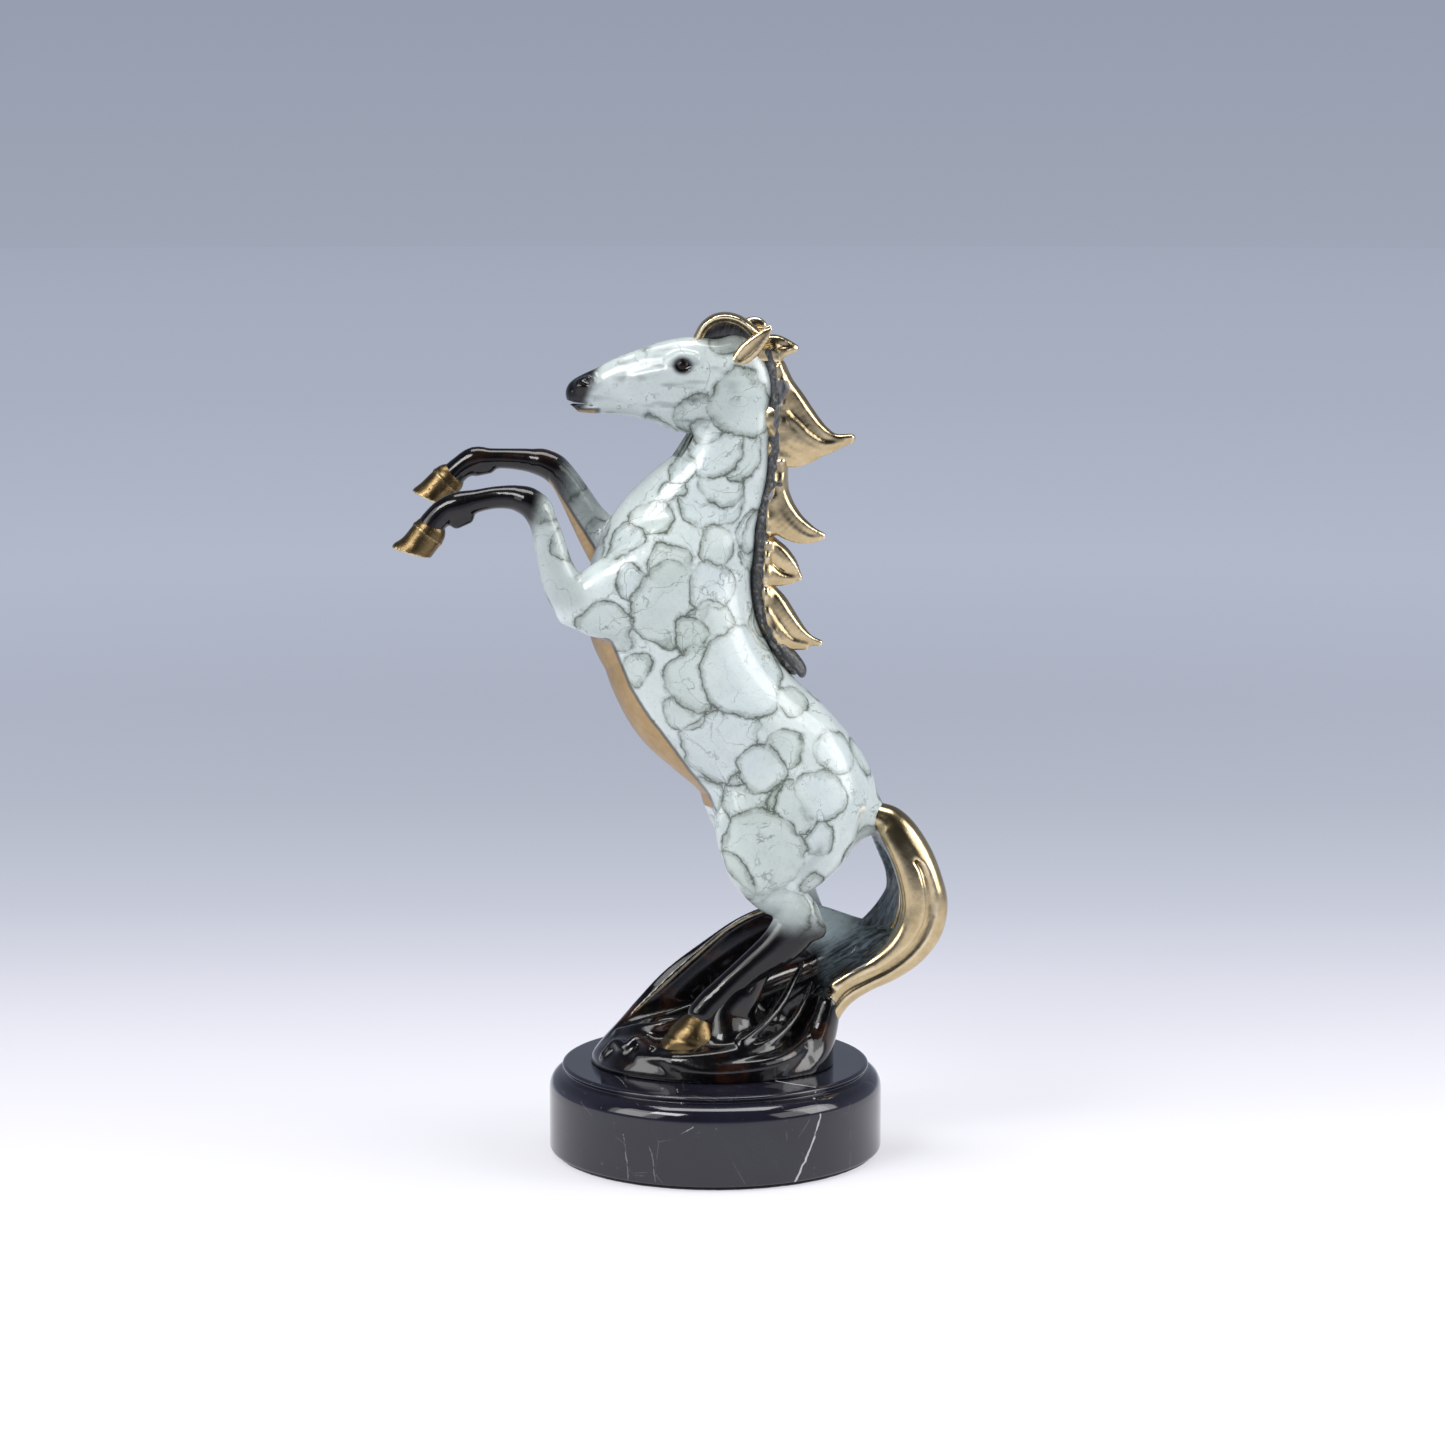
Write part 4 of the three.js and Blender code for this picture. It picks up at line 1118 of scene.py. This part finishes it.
CREST = [
    [19.2, 0, 301, 3, 4.2], [21.4, 0, 294, 3.4, 5], [22.6, 0, 287, 3.6, 5.2], [22.8, 0, 275, 3.8, 5.4],
    [22.2, 0, 264, 3.6, 5.2], [21.4, 0, 253, 3.6, 5.2], [18.4, 0, 243, 3.6, 5.4],
    [17.2, 0, 230, 3.4, 5.6], [16.4, 0, 215, 3.4, 5.6], [17.2, 0, 204, 3.4, 5.4],
    [20.6, 0, 195.5, 3.2, 4.8], [25, 0, 188, 2.8, 4], [29.4, 0, 182.5, 2, 3],
]


def mane_crest():
    """The rough strip that the locks grow from."""
    crest = Sculpt()
    crest.add(CREST, 1)
    return crest, np.array([10, -10, 176]), np.array([32, 10, 308])


def in_xz(rows):
    """The line of some stations as seen from the side."""
    return [(row[0], row[2]) for row in rows]


def lock_values(vertices, _):
    """Dark patina towards the root of a lock."""
    x, _, z = vertices.T
    root = np.abs(to_polyline(x, z, in_xz(CREST)))
    patch = 0.8 * smooth(0.25, 0.6, noise(vertices, 6.0, 43)) * smooth(7.0, 3.0, root)
    return {"trough": np.maximum(smooth(1.6, 0.4, root + 0.8 * noise(vertices, 2.0, 41)), patch)}


def forelock_values(vertices, normals):
    """Patina under the arch of the forelock, black where it meets the brow."""
    x, _, z = vertices.T
    depth = to_polyline(x, z, in_xz(ARCH))
    under = smooth(-1.5, -2.7, depth + 0.6 * noise(vertices, 3.0, 42)) * smooth(0.8, 0.2, normals[:, 2])
    return {"trough": under, "black": 0.75 * smooth(311, 306, z)}


ARCH = [
    [-6.6, -0.6, 305.4, 1.4, 3.0], [-4.2, -0.6, 309.6, 1.5, 4.6], [-0.4, -0.6, 312.4, 1.6, 5.4],
    [4.2, -0.6, 313.2, 1.6, 5.6], [8.8, -0.6, 312, 1.6, 5.4], [12.6, -0.6, 309.4, 1.6, 4.8],
    [16.2, -0.6, 305.8, 2.0, 3.8],
]


def forelock():
    """A lock that arches forward from the poll to the brow, open and dark beneath."""
    hair = Sculpt()
    hair.add(ARCH, 1)
    hair.add([[-4.2, 1.6, 305.2, 2.6, 3], [1, 2, 307.6, 4.2, 3.4], [7, 2, 308, 4.6, 3.4],
              [13, 1.4, 305.4, 3.4, 3.4]], 1.2)
    hair.cut([[-2.4, -5.6, 306.6, 1.2, 1.6], [2, -6, 308.4, 2.2, 2.6], [8, -6, 307.6, 2.4, 2.6],
              [12, -5.4, 305.2, 1.6, 2]], 1.2)
    hair.add([[10, 6.6, 308.4, 3.2, 2.4], [14.6, 6.2, 309.9, 2.9, 2.2],
              [17.2, 5.6, 309.6, 1.9, 1.6]], 1.5)
    return hair, np.array([-11, -9, 299]), np.array([22, 11, 318])


# ---------------------------------------------------------------- tail and ground

# The polished band's inner edge, from the dock down, seen from the side
GOLD_EDGE = [
    (58, 127), (60.5, 122.5), (64, 116.5), (66, 111.5), (68, 105.5), (69, 98.5), (69, 92.5),
    (67.5, 86.5), (64, 81), (60, 76.5), (55, 72), (45, 67.5), (40, 61.5), (38, 54), (38, 40),
]


def tail():
    """A heavy lock that falls from the dock as two polished ridges, with a thin curtain behind them."""
    hair = Sculpt()
    band = [[60.5, -0.5, 127.5, 5.2, 6.5], [65.4, -1.5, 125, 6.2, 7], [69.6, -3, 119.4, 7.4, 7.4],
            [73.8, -4, 111.4, 8, 7.4], [76.6, -5, 103, 8.4, 7.2], [78, -5.5, 95, 8.8, 7],
            [76.4, -6, 86.6, 8.8, 6.8], [71.6, -6, 78.6, 7.8, 6.6], [64.4, -6, 72, 6.4, 6.4],
            [56, -6, 67, 5.4, 6.2], [48.6, -6, 62, 5.2, 6.2], [43.8, -6, 56, 4.8, 6.2],
            [40.4, -6, 48, 4.6, 7], [39.6, -6, 40, 4.6, 8]]
    hair.add(band, 2, per=10)
    curtain = [[61, 3, 125, 4.5, 4.5], [67.5, 5, 117, 7.6, 4.4], [72.4, 6, 107.5, 8.8, 4],
               [74.4, 6.6, 97, 10.4, 3.6], [71, 7, 87.5, 11.5, 3.6], [63.4, 7, 80, 10.5, 3.6],
               [55, 6.6, 74, 9.5, 3.8], [48, 6, 67, 8.5, 4.4], [43, 5, 58, 7.5, 5]]
    hair.add(curtain, 4)
    inner = [[63.8, -6.6, 121.8, 2.0], [68.0, -8.2, 114.6, 2.8], [71.4, -9, 106, 3.2],
             [73, -9.4, 97, 3.2], [72.2, -9.6, 88.4, 3.1], [68, -9.6, 80.6, 2.9],
             [61.2, -9.6, 74.6, 2.6], [52.8, -9.6, 70, 2.4], [45, -9.6, 65, 2.2]]
    hair.add(inner, 3.2, per=8)
    groove = [[74.6, -10.2, 112, 0.4], [77, -11, 109, 0.8], [79, -11.8, 103, 1.2],
              [79.8, -12.2, 96.5, 1.4], [79, -12.6, 89.4, 1.4], [76, -12.8, 82.6, 1.4],
              [71, -12.8, 76.6, 1.3], [64, -12.6, 71.4, 1.2], [55.6, -12.4, 67.2, 1.1],
              [48.4, -12.4, 63, 1.1], [43, -12.4, 56.4, 1.0]]
    hair.cut(groove, 2.0, per=8)
    for n, side in enumerate((-2.0, 2.6, 7.0)):
        hair.cut([[69 + 0.4 * n, side, 127.5, 0.6], [77.6, side, 118.4, 0.9], [84.4, side, 107, 1.1],
                  [87.6, side, 96, 1.2], [86, side, 83.6, 1.1], [79.6, side, 73, 1.0],
                  [70.4, side, 65.2, 0.9], [60, side, 58.6, 0.8]], 1.6)
    for y, fore in ((9.6, 0), (10.2, 5), (10, 9.5)):
        hair.cut([[66 - fore * 0.4, y, 121, 0.5], [74 - fore, y + 0.6, 108, 0.9],
                  [77 - fore, y + 0.6, 96, 1.0], [74 - fore, y + 0.8, 86, 0.9],
                  [66 - fore, y + 0.6, 77, 0.8]], 1.4)
    hair.slice((0, 0, 44), (0, 0, -1), 0.5)
    return hair, np.array([34, -18, 40]), np.array([92, 15, 138])


def tail_values(vertices, normals):
    """Streaked patina on the curtain inside the polished band, black towards the ground."""
    x, _, z = vertices.T
    inner = to_polyline(x, z, GOLD_EDGE)
    trough = smooth(0.6, -0.6, inner) * smooth(0.55, 0.25, normals[:, 1])
    return {"trough": trough, "black": smooth(88, 72, z + 0.35 * (x - 50))}


# The low dome of the ground, the wave behind the hind legs with its rim, and the web that joins them
DOME = [
    [-41.5, -4, 33, 5, 8], [-37, -4, 34, 8.4, 16], [-29, -4, 34, 13, 24], [-16, -4, 34, 17.4, 31],
    [-1.5, -4, 34, 19.4, 34.5], [13, -4, 34, 17.8, 32.4], [27, -4, 34, 13, 25], [35, -4, 34, 8.6, 16.5],
    [39, -4, 33, 5, 8],
]
WAVE = [
    [63, 7, 78, 6, 3.6], [52, 8.4, 79, 7.4, 3.4], [42, 9, 81.4, 8.2, 3.2], [31, 9.4, 82, 9.0, 3],
    [20, 9.6, 79.4, 9.9, 2.8], [9, 9.6, 74.8, 9.6, 2.6], [-2, 9.4, 67.6, 9.6, 2.6],
    [-13, 8.6, 59.6, 9.2, 2.8], [-22, 7.4, 52, 8.0, 3.4], [-30, 5.4, 45.4, 6.4, 4.4],
    [-38, 2, 39.5, 3.6, 5.4], [-42, -2, 36.4, 2.0, 4.4],
]
WAVE_RIM = [
    [58, 7.6, 85, 0.8], [52, 8.2, 86.4, 1.0], [46, 8.8, 88.2, 1.1], [40, 9, 90.2, 1.1],
    [30, 9.4, 91.4, 1.2], [20, 9.4, 90, 1.2], [12, 9.2, 87, 1.2], [4, 9, 82.2, 1.2],
    [-4, 8.6, 75.4, 1.2], [-13, 7.8, 67.4, 1.2], [-22, 6.4, 59.2, 1.2], [-30, 4.4, 52, 1.2],
    [-37, 1.4, 45.4, 1.1], [-42.4, -3, 39.4, 1.0],
]
WEB = [[62, 4, 77, 6, 5], [50, 4, 71, 8, 7], [38, 3.5, 65, 12, 8], [26, 3, 60, 14, 9],
       [12, 2, 51, 13, 12]]
# Flowing folds: greatest half width, fillet, and the points that each runs through
FOLDS = [
    (1.9, 2.6, [[-15.5, -33.6, 40.5], [-2.4, -36.6, 39], [11.7, -34.8, 39.6], [24, -29.4, 41],
                [31.7, -20.4, 44], [35.5, -10, 48], [39, -4, 56], [42, -3, 62]]),
    (1.7, 2.4, [[36, -20, 38], [40, -13, 42], [41.6, -9, 47], [43, -8, 54]]),
    (1.6, 2.2, [[-28, -25, 41.5], [-18, -31.5, 42], [-6, -33.5, 42.6], [8, -31.6, 44], [20, -25.6, 47],
                [28, -17, 52], [33, -11, 59], [36, -9, 66]]),
    (1.5, 2.2, [[10, -30, 48.4], [18, -23, 53], [24.6, -15, 59], [29, -9, 66], [33, -6, 73]]),
    (1.5, 2.0, [[-41.6, -14, 39.6], [-37.4, -15.4, 44.4], [-33.4, -19.4, 43.6], [-28.6, -19.4, 47],
                [-23.6, -25.6, 45]]),
    (1.4, 2.0, [[-36.4, -4, 46], [-29, -10.4, 49], [-22, -14.6, 50.6], [-14, -15.4, 53]]),
    (1.5, 2.2, [[-18, -10, 54], [-6, -10, 58], [6, -10.6, 62], [18, -11.6, 68], [25, -13, 76]]),
    (1.6, 2.4, [[-30, 22, 42], [-14, 29, 43.5], [4, 30.6, 43], [20, 24.6, 46], [30, 16, 52],
                [38, 11, 60]]),
    (1.6, 2.4, [[-38, 10, 42], [-26, 16, 47], [-10, 19, 52], [8, 18.6, 58], [22, 15.6, 66]]),
    (1.5, 2.2, [[-2, 27, 46], [14, 24, 52], [24, 19, 60], [30, 15, 70]]),
]


def leg_sleeve(y):
    """Enamel that runs from the cannon bone over the hoof's coronet and into the ground."""
    return [
        [[8, 18.6 * y, 63, 5.2, 4.6], [3, 19 * y, 56, 5.4, 6.2], [4.5, 19 * y, 49, 6.5, 9],
        [7, 18 * y, 42, 8, 10]], [[20, 17 * y, 78, 3, 3], [14, 16.4 * y, 68, 5, 4.4],
                                  [8, 16 * y, 57, 7, 7], [6, 15 * y, 45, 9, 9]],
    ]


def ground():
    """The swirl of ground: a low dome, the tail's curtain running forward as a wave, and flowing folds."""
    land = Sculpt()
    land.add(DOME, 2, per=12)
    land.add(WAVE, 6, per=8)
    land.add(WEB, 8, per=12)
    land.add([[42, -5.5, 57, 5.2, 7.5], [39.2, -5.5, 48, 6.6, 11], [35.5, -5.5, 40, 8.2, 15],
              [33, -5, 36, 9, 18.4]], 5, per=16)
    for y in (-1, 1):
        for rows in leg_sleeve(y):
            land.add(rows, 6, per=12)
    for rows in ([[46, -1.5, 79, 3.5], [34, -1.5, 73, 5.5], [20, -1.6, 68, 6.5], [6, -2.4, 62, 6.5],
                  [-8, -4.4, 56, 5], [-20, -6, 51, 3]],
                 [[-26, -22, 49, 3], [-20, -21.4, 49.4, 4.2], [-15, -20.4, 50.6, 3.4]]):
        land.cut(rows, 4)
    for size, blend, line in FOLDS:
        swell = [math.sin(math.pi * (n + 0.7) / (len(line) + 0.4)) for n in range(len(line))]
        land.add([[*point, max(0.5, size * s)] for point, s in zip(line, swell)], 1.8 * blend)
    land.add(WAVE_RIM, 1.4)
    plinth_top = cad_box("marble_plinth")[1][2]
    land.slice((0, 0, plinth_top + 0.05), (0, 0, -1), 0.5)
    return land, np.array([-50, -44, 31]), np.array([70, 38, 96])


def ground_values(vertices, normals):
    """Bronze worn along the wave's rim and under the tail, pale and streaked enamel behind the hocks."""
    x, y, z = vertices.T
    rim = np.abs(to_polyline(x, z, in_xz(WAVE_RIM)))
    worn = 0.62 * smooth(1.3, 0.1, rim) * (y > -6) * smooth(46, 54, z) * smooth(44, 36, x)
    foot = smooth(35, 39.5, x + 2 * noise(vertices, 5.0, 44)) * smooth(34, 46, z) * smooth(60, 54, z)
    foot = foot * smooth(0.25, 0.7, normals[:, 0]) * smooth(9, 0, np.abs(y + 4))
    return {
        "worn": np.maximum(worn, foot),
        "pale": smooth(28, 36, x) * smooth(62, 40, x) * smooth(72, 86, z) * smooth(-1, 4, y),
        "trough": smooth(33, 46, x) * smooth(56, 70, z),
        "rough": smooth(14, 24, x) * smooth(44, 36, x) * smooth(46, 54, z) * smooth(2, -4, y),
    }


# ---------------------------------------------------------------- plinth and felt

def lathe(profile, around):
    """A closed turned form from (radius, height) rows that start and end on the axis."""
    turn = np.linspace(0, 2 * np.pi, around, endpoint=False)
    rings = [np.stack([r * np.cos(turn), r * np.sin(turn), np.full(around, z)], 1)
             for r, z in profile[1:-1]]
    vertices = np.vstack([*rings, [[0, 0, profile[0][1]], [0, 0, profile[-1][1]]]])
    last = (len(rings) - 1) * around
    bottom, top = last + around, last + around + 1
    faces = []
    for i in range(around):
        j = (i + 1) % around
        faces += [[row + i, row + j, row + around + j, row + around + i] for row in range(0, last, around)]
        faces += [[bottom, j, i], [top, last + i, last + j]]
    return vertices, faces


def rounded(*profile):
    """The profile with a smooth curve through its points."""
    return [tuple(row) for row in spline(profile, 5)]


def plinth():
    """The turned disc: eased foot, straight wall, round shoulder, cove, and a raised top disc."""
    low, high = cad_box("marble_plinth")
    side, base, top = (high[0] - low[0]) / 2, low[2], high[2]
    disc = 57.6
    foot = [(0, base), (side - 3, base), (side - 0.9, base), (side - 0.25, base + 0.25),
    (side, base + 0.9)]
    wall = [(side, base + 1.4), (side, 8), (side, 16), (side, 23.6)]
    shoulder = rounded((side, 24.2), (side - 0.35, 26.6), (side - 1.5, 28.8), (side - 3.3, 30.3),
                       (side - 4.9, 30.9))
    cove = rounded((side - 5.0, 31.0), (side - 5.7, 31.5), (disc - 0.5, 32.2))
    bead = rounded((disc - 0.45, 32.3), (disc, 33.0), (disc - 0.25, 33.6), (disc - 0.9, top))
    flat = [(disc - 1.5, top), (40, top), (20, top), (0, top)]
    return lathe([*foot, *wall, *shoulder, *cove, *bead, *flat], 256)


def felt_disc():
    """A disc of felt with a fuzzy edge."""
    low, high = cad_box("felt_pad")
    top, edge = high[2], (high[0] - low[0]) / 2
    profile = [(0, 0), (edge - 1, 0), (edge - 0.2, 0.15), (edge, 0.5), (edge, top - 0.4),
               (edge - 0.3, top), (edge - 2, top), (0, top)]
    vertices, faces = lathe(profile, 360)
    out = np.hypot(vertices[:, 0], vertices[:, 1]) > edge - 1.5
    fuzz = 0.22 * noise(vertices * [1, 1, 2.5], 1.2, 31)
    vertices[out, :2] *= 1 + (fuzz[out] / edge)[:, None]
    return vertices, faces


# ---------------------------------------------------------------- assembly

def build_model():
    """Every piece of the figurine, and steel on the CAD's own bolts and washers."""
    gold, horn, rough, gloss = bronze(), hoof_bronze(), patina(), eye_gloss()
    mane = hair_bronze("mane_bronze", rgb(34, 34, 36), rgb(112, 112, 114))
    swish = hair_bronze("tail_bronze", rgb(30, 37, 42), rgb(112, 128, 136))
    cast_horse(enamel())
    for side, y in (("left", -1), ("right", 1)):
        cast_one("fore_hoof_" + side, "polished_bronze", *fore_hoof(side), SMALL, horn, rough=0.04)
        cast_one("hind_hoof_" + side, "polished_bronze", *hind_hoof(y), SMALL, horn, rough=0.06)
        cast_one("ear_" + side, "polished_bronze", *ear(y), SMALL, gold)
        make_piece("eye_" + side + "_bead", "eye_" + side, "black_enamel", *eyeball(side), gloss)
    cast_one("mane_crest", "dark_patina", *mane_crest(), FINE, rough, rough=0.3)
    for node in LOCKS:
        look = rough if node == "mane_lock_6" else mane
        cast_one(node, "polished_bronze", *mane_lock(node), SMALL, look, lock_values, 0.05)
    cast_one("forelock", "polished_bronze", *forelock(), SMALL, mane, forelock_values)
    cast_one("tail", "polished_bronze", *tail(), FINE, swish, tail_values)
    cast_one("ground_mound", "black_enamel", *ground(), BROAD, black_enamel(), ground_values)
    make_piece("marble_plinth_turned", "marble_plinth", "marble", *plinth(), marble())
    make_piece("felt_pad_disc", "felt_pad", "felt", *felt_disc(), felt())
    zinc = steel()
    for node in ("washer_front", "washer_rear", "mounting_bolt_front", "mounting_bolt_rear"):
        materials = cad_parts[node].data.materials
        materials.clear()
        materials.append(zinc)


# ---------------------------------------------------------------- studio

# painted light: the sweep gives off its own glow, though it is no lamp
FLOOR_GLOW = 0.6  # share of the sweep's brightness that no shadow takes away
FLOOR_SHADE = 0.42  # how much darker than the sweep's colour its lit and shadowed share is
SWEEP_FAR = 12.0
# Painted light on the paper sweep: how its glow and colour darken with distance in metres from the figurine
SWEEP = [
    (0.03, rgb(246, 246, 252)), (0.154, rgb(235, 235, 244)), (0.25, rgb(225, 225, 236)),
    (0.353, rgb(212, 214, 226)), (0.472, rgb(200, 204, 218)), (0.762, rgb(185, 191, 205)),
    (1.157, rgb(177, 183, 199)), (1.72, rgb(173, 180, 196)), (4.15, rgb(166, 173, 189)),
    (11.5, rgb(160, 167, 183)),
]
# Colours round the studio, from straight down at 0 to straight up at 1
HORIZON = [(0.0, rgb(160, 167, 183)), (0.484, rgb(160, 167, 183)), (0.5, rgb(155, 163, 179)),
           (0.516, rgb(150, 158, 176))]
ROOM = [*HORIZON, (0.55, rgb(96, 102, 118)), (0.59, rgb(34, 37, 44)), (0.75, rgb(22, 24, 28)),
        (1.0, rgb(30, 32, 38))]
BACKDROP = [*HORIZON, (0.6, rgb(140, 147, 163)), (0.75, rgb(104, 110, 124)), (1.0, rgb(44, 47, 54))]
# The photograph's view, fitted to the plinth: a level camera tipped down by PITCH
PHOTO_PIXELS = 1445.0
FOCAL_PIXELS = 3806.3
PITCH = 0.1527
SENSOR = 36.0


def link(thing):
    bpy.context.scene.collection.objects.link(thing)
    return thing


def glowing_sweep():
    """Pale paper with painted light: a glow that is white round the figurine and falls to blue-grey away
    from it, over a diffuse share that takes the shadows.
    """
    look = Look("glowing_sweep")
    axes = look.add("ShaderNodeSeparateXYZ", {0: look.place}).node.outputs
    x = look.times(look.size_of(axes["X"]), MM)
    y = look.times(axes["Y"], MM)
    sideways = look.larger(look.minus(x, 0.36), 0.0)
    behind = look.larger(look.larger(y, look.minus(-0.42, y)), 0.0)
    away = look.math("SQRT", look.plus(look.times(sideways, sideways), look.times(behind, behind)))
    stops = [(distance / SWEEP_FAR, colour) for distance, colour in SWEEP]
    # painted light: the sweep's colour falls off with distance from the figurine
    colour = add_ramp(look.tree, look.math("DIVIDE", away, SWEEP_FAR), stops)
    reach = look.vector("LENGTH", look.place, output="Value")
    strength = look.spread(FLOOR_GLOW, 1.0, look.step(350.0, 2200.0, reach))
    # painted light: the sweep's own glow, weaker near the figurine so that shadows show there
    glow = look.add("ShaderNodeEmission", {"Color": colour, "Strength": strength})
    paper = look.add("ShaderNodeBsdfDiffuse", {"Color": look.mix(FLOOR_SHADE, (0, 0, 0, 1), colour)})
    both = look.add("ShaderNodeAddShader", {0: glow, 1: paper})
    output = next(node for node in look.tree.nodes if node.type == "OUTPUT_MATERIAL")
    look.tree.links.new(both, output.inputs["Surface"])
    look.material.cycles.emission_sampling = "NONE"
    return look.material


def sweep_floor():
    """A disc of the glowing paper with its painted light, wide enough to fill the view."""
    turn = np.linspace(0, 2 * np.pi, 128, endpoint=False)
    rim = np.stack([SWEEP_FAR * np.cos(turn), SWEEP_FAR * np.sin(turn), np.zeros(128)], 1)
    mesh = bpy.data.meshes.new("studio_floor")
    mesh.from_pydata(rim.tolist(), [], [list(range(128))])
    mesh.materials.append(glowing_sweep())
    link(bpy.data.objects.new("studio_floor", mesh))


def studio_sky():
    """Pale at the horizon; above it the lit sweep goes on upwards behind, and the room in front is dark."""
    world = bpy.data.worlds.new("studio")
    world.use_nodes = True
    bpy.context.scene.world = world
    tree = world.node_tree
    direction = add_node(tree, "ShaderNodeTexCoord", {}, "Generated")
    axes = add_node(tree, "ShaderNodeSeparateXYZ", {0: direction}).node.outputs
    height = add_node(tree, "ShaderNodeMath", {0: axes["Z"], 1: 0.5, 2: 0.5}, operation="MULTIPLY_ADD")
    behind = add_node(
        tree, "ShaderNodeMapRange", {"Value": axes["Y"], "From Min": -0.2, "From Max": 0.35},
        interpolation_type="SMOOTHSTEP")
    room, backdrop = add_ramp(tree, height, ROOM), add_ramp(tree, height, BACKDROP)
    colour = add_node(tree, "ShaderNodeMix", {0: behind, 6: room, 7: backdrop}, 2, data_type="RGBA")
    tree.links.new(colour, tree.nodes["Background"].inputs["Color"])


def add_camera():
    """The photograph's view: level with the withers, looking down a little from 1.4 m away."""
    camera = bpy.data.cameras.new("camera")
    camera.sensor_width = SENSOR
    camera.lens = SENSOR * FOCAL_PIXELS / PHOTO_PIXELS
    camera.clip_start, camera.clip_end = 0.05, 60.0
    view = link(bpy.data.objects.new("camera", camera))
    view.location = (0.00273, -1.4, 0.3781)
    view.rotation_euler = (math.pi / 2 - PITCH, 0.0, 0.0)
    bpy.context.scene.camera = view


def softbox(name, place, width, height, watts):
    """A rectangular light that faces the middle of the figurine."""
    light = bpy.data.lights.new(name, "AREA")
    light.shape = "RECTANGLE"
    light.size, light.size_y = width, height
    light.energy = watts
    box = link(bpy.data.objects.new(name, light))
    box.visible_camera = False
    box.location = place
    aim = mathutils.Vector((0.0, 0.0, 0.17)) - mathutils.Vector(place)
    box.rotation_euler = aim.to_track_quat("-Z", "Y").to_euler()


def light_studio():
    softbox("key", (-0.7, -0.85, 1.15), 0.5, 0.4, 7.5)
    softbox("softbox_left", (-1.0, -0.55, 0.72), 0.5, 0.8, 4.0)
    softbox("softbox_right", (1.0, -0.2, 0.62), 0.5, 0.9, 5.5)
    softbox("softbox_top", (0.0, 0.05, 1.3), 1.0, 0.45, 9.0)
    softbox("panel_left", (-1.5, -0.9, 0.85), 1.3, 0.9, 6.0)
    softbox("panel_right", (1.5, -0.7, 0.85), 1.3, 0.9, 8.0)


add_camera()
build_model()
light_studio()
studio_sky()
sweep_floor()
bpy.context.scene.view_settings.view_transform = "Standard"
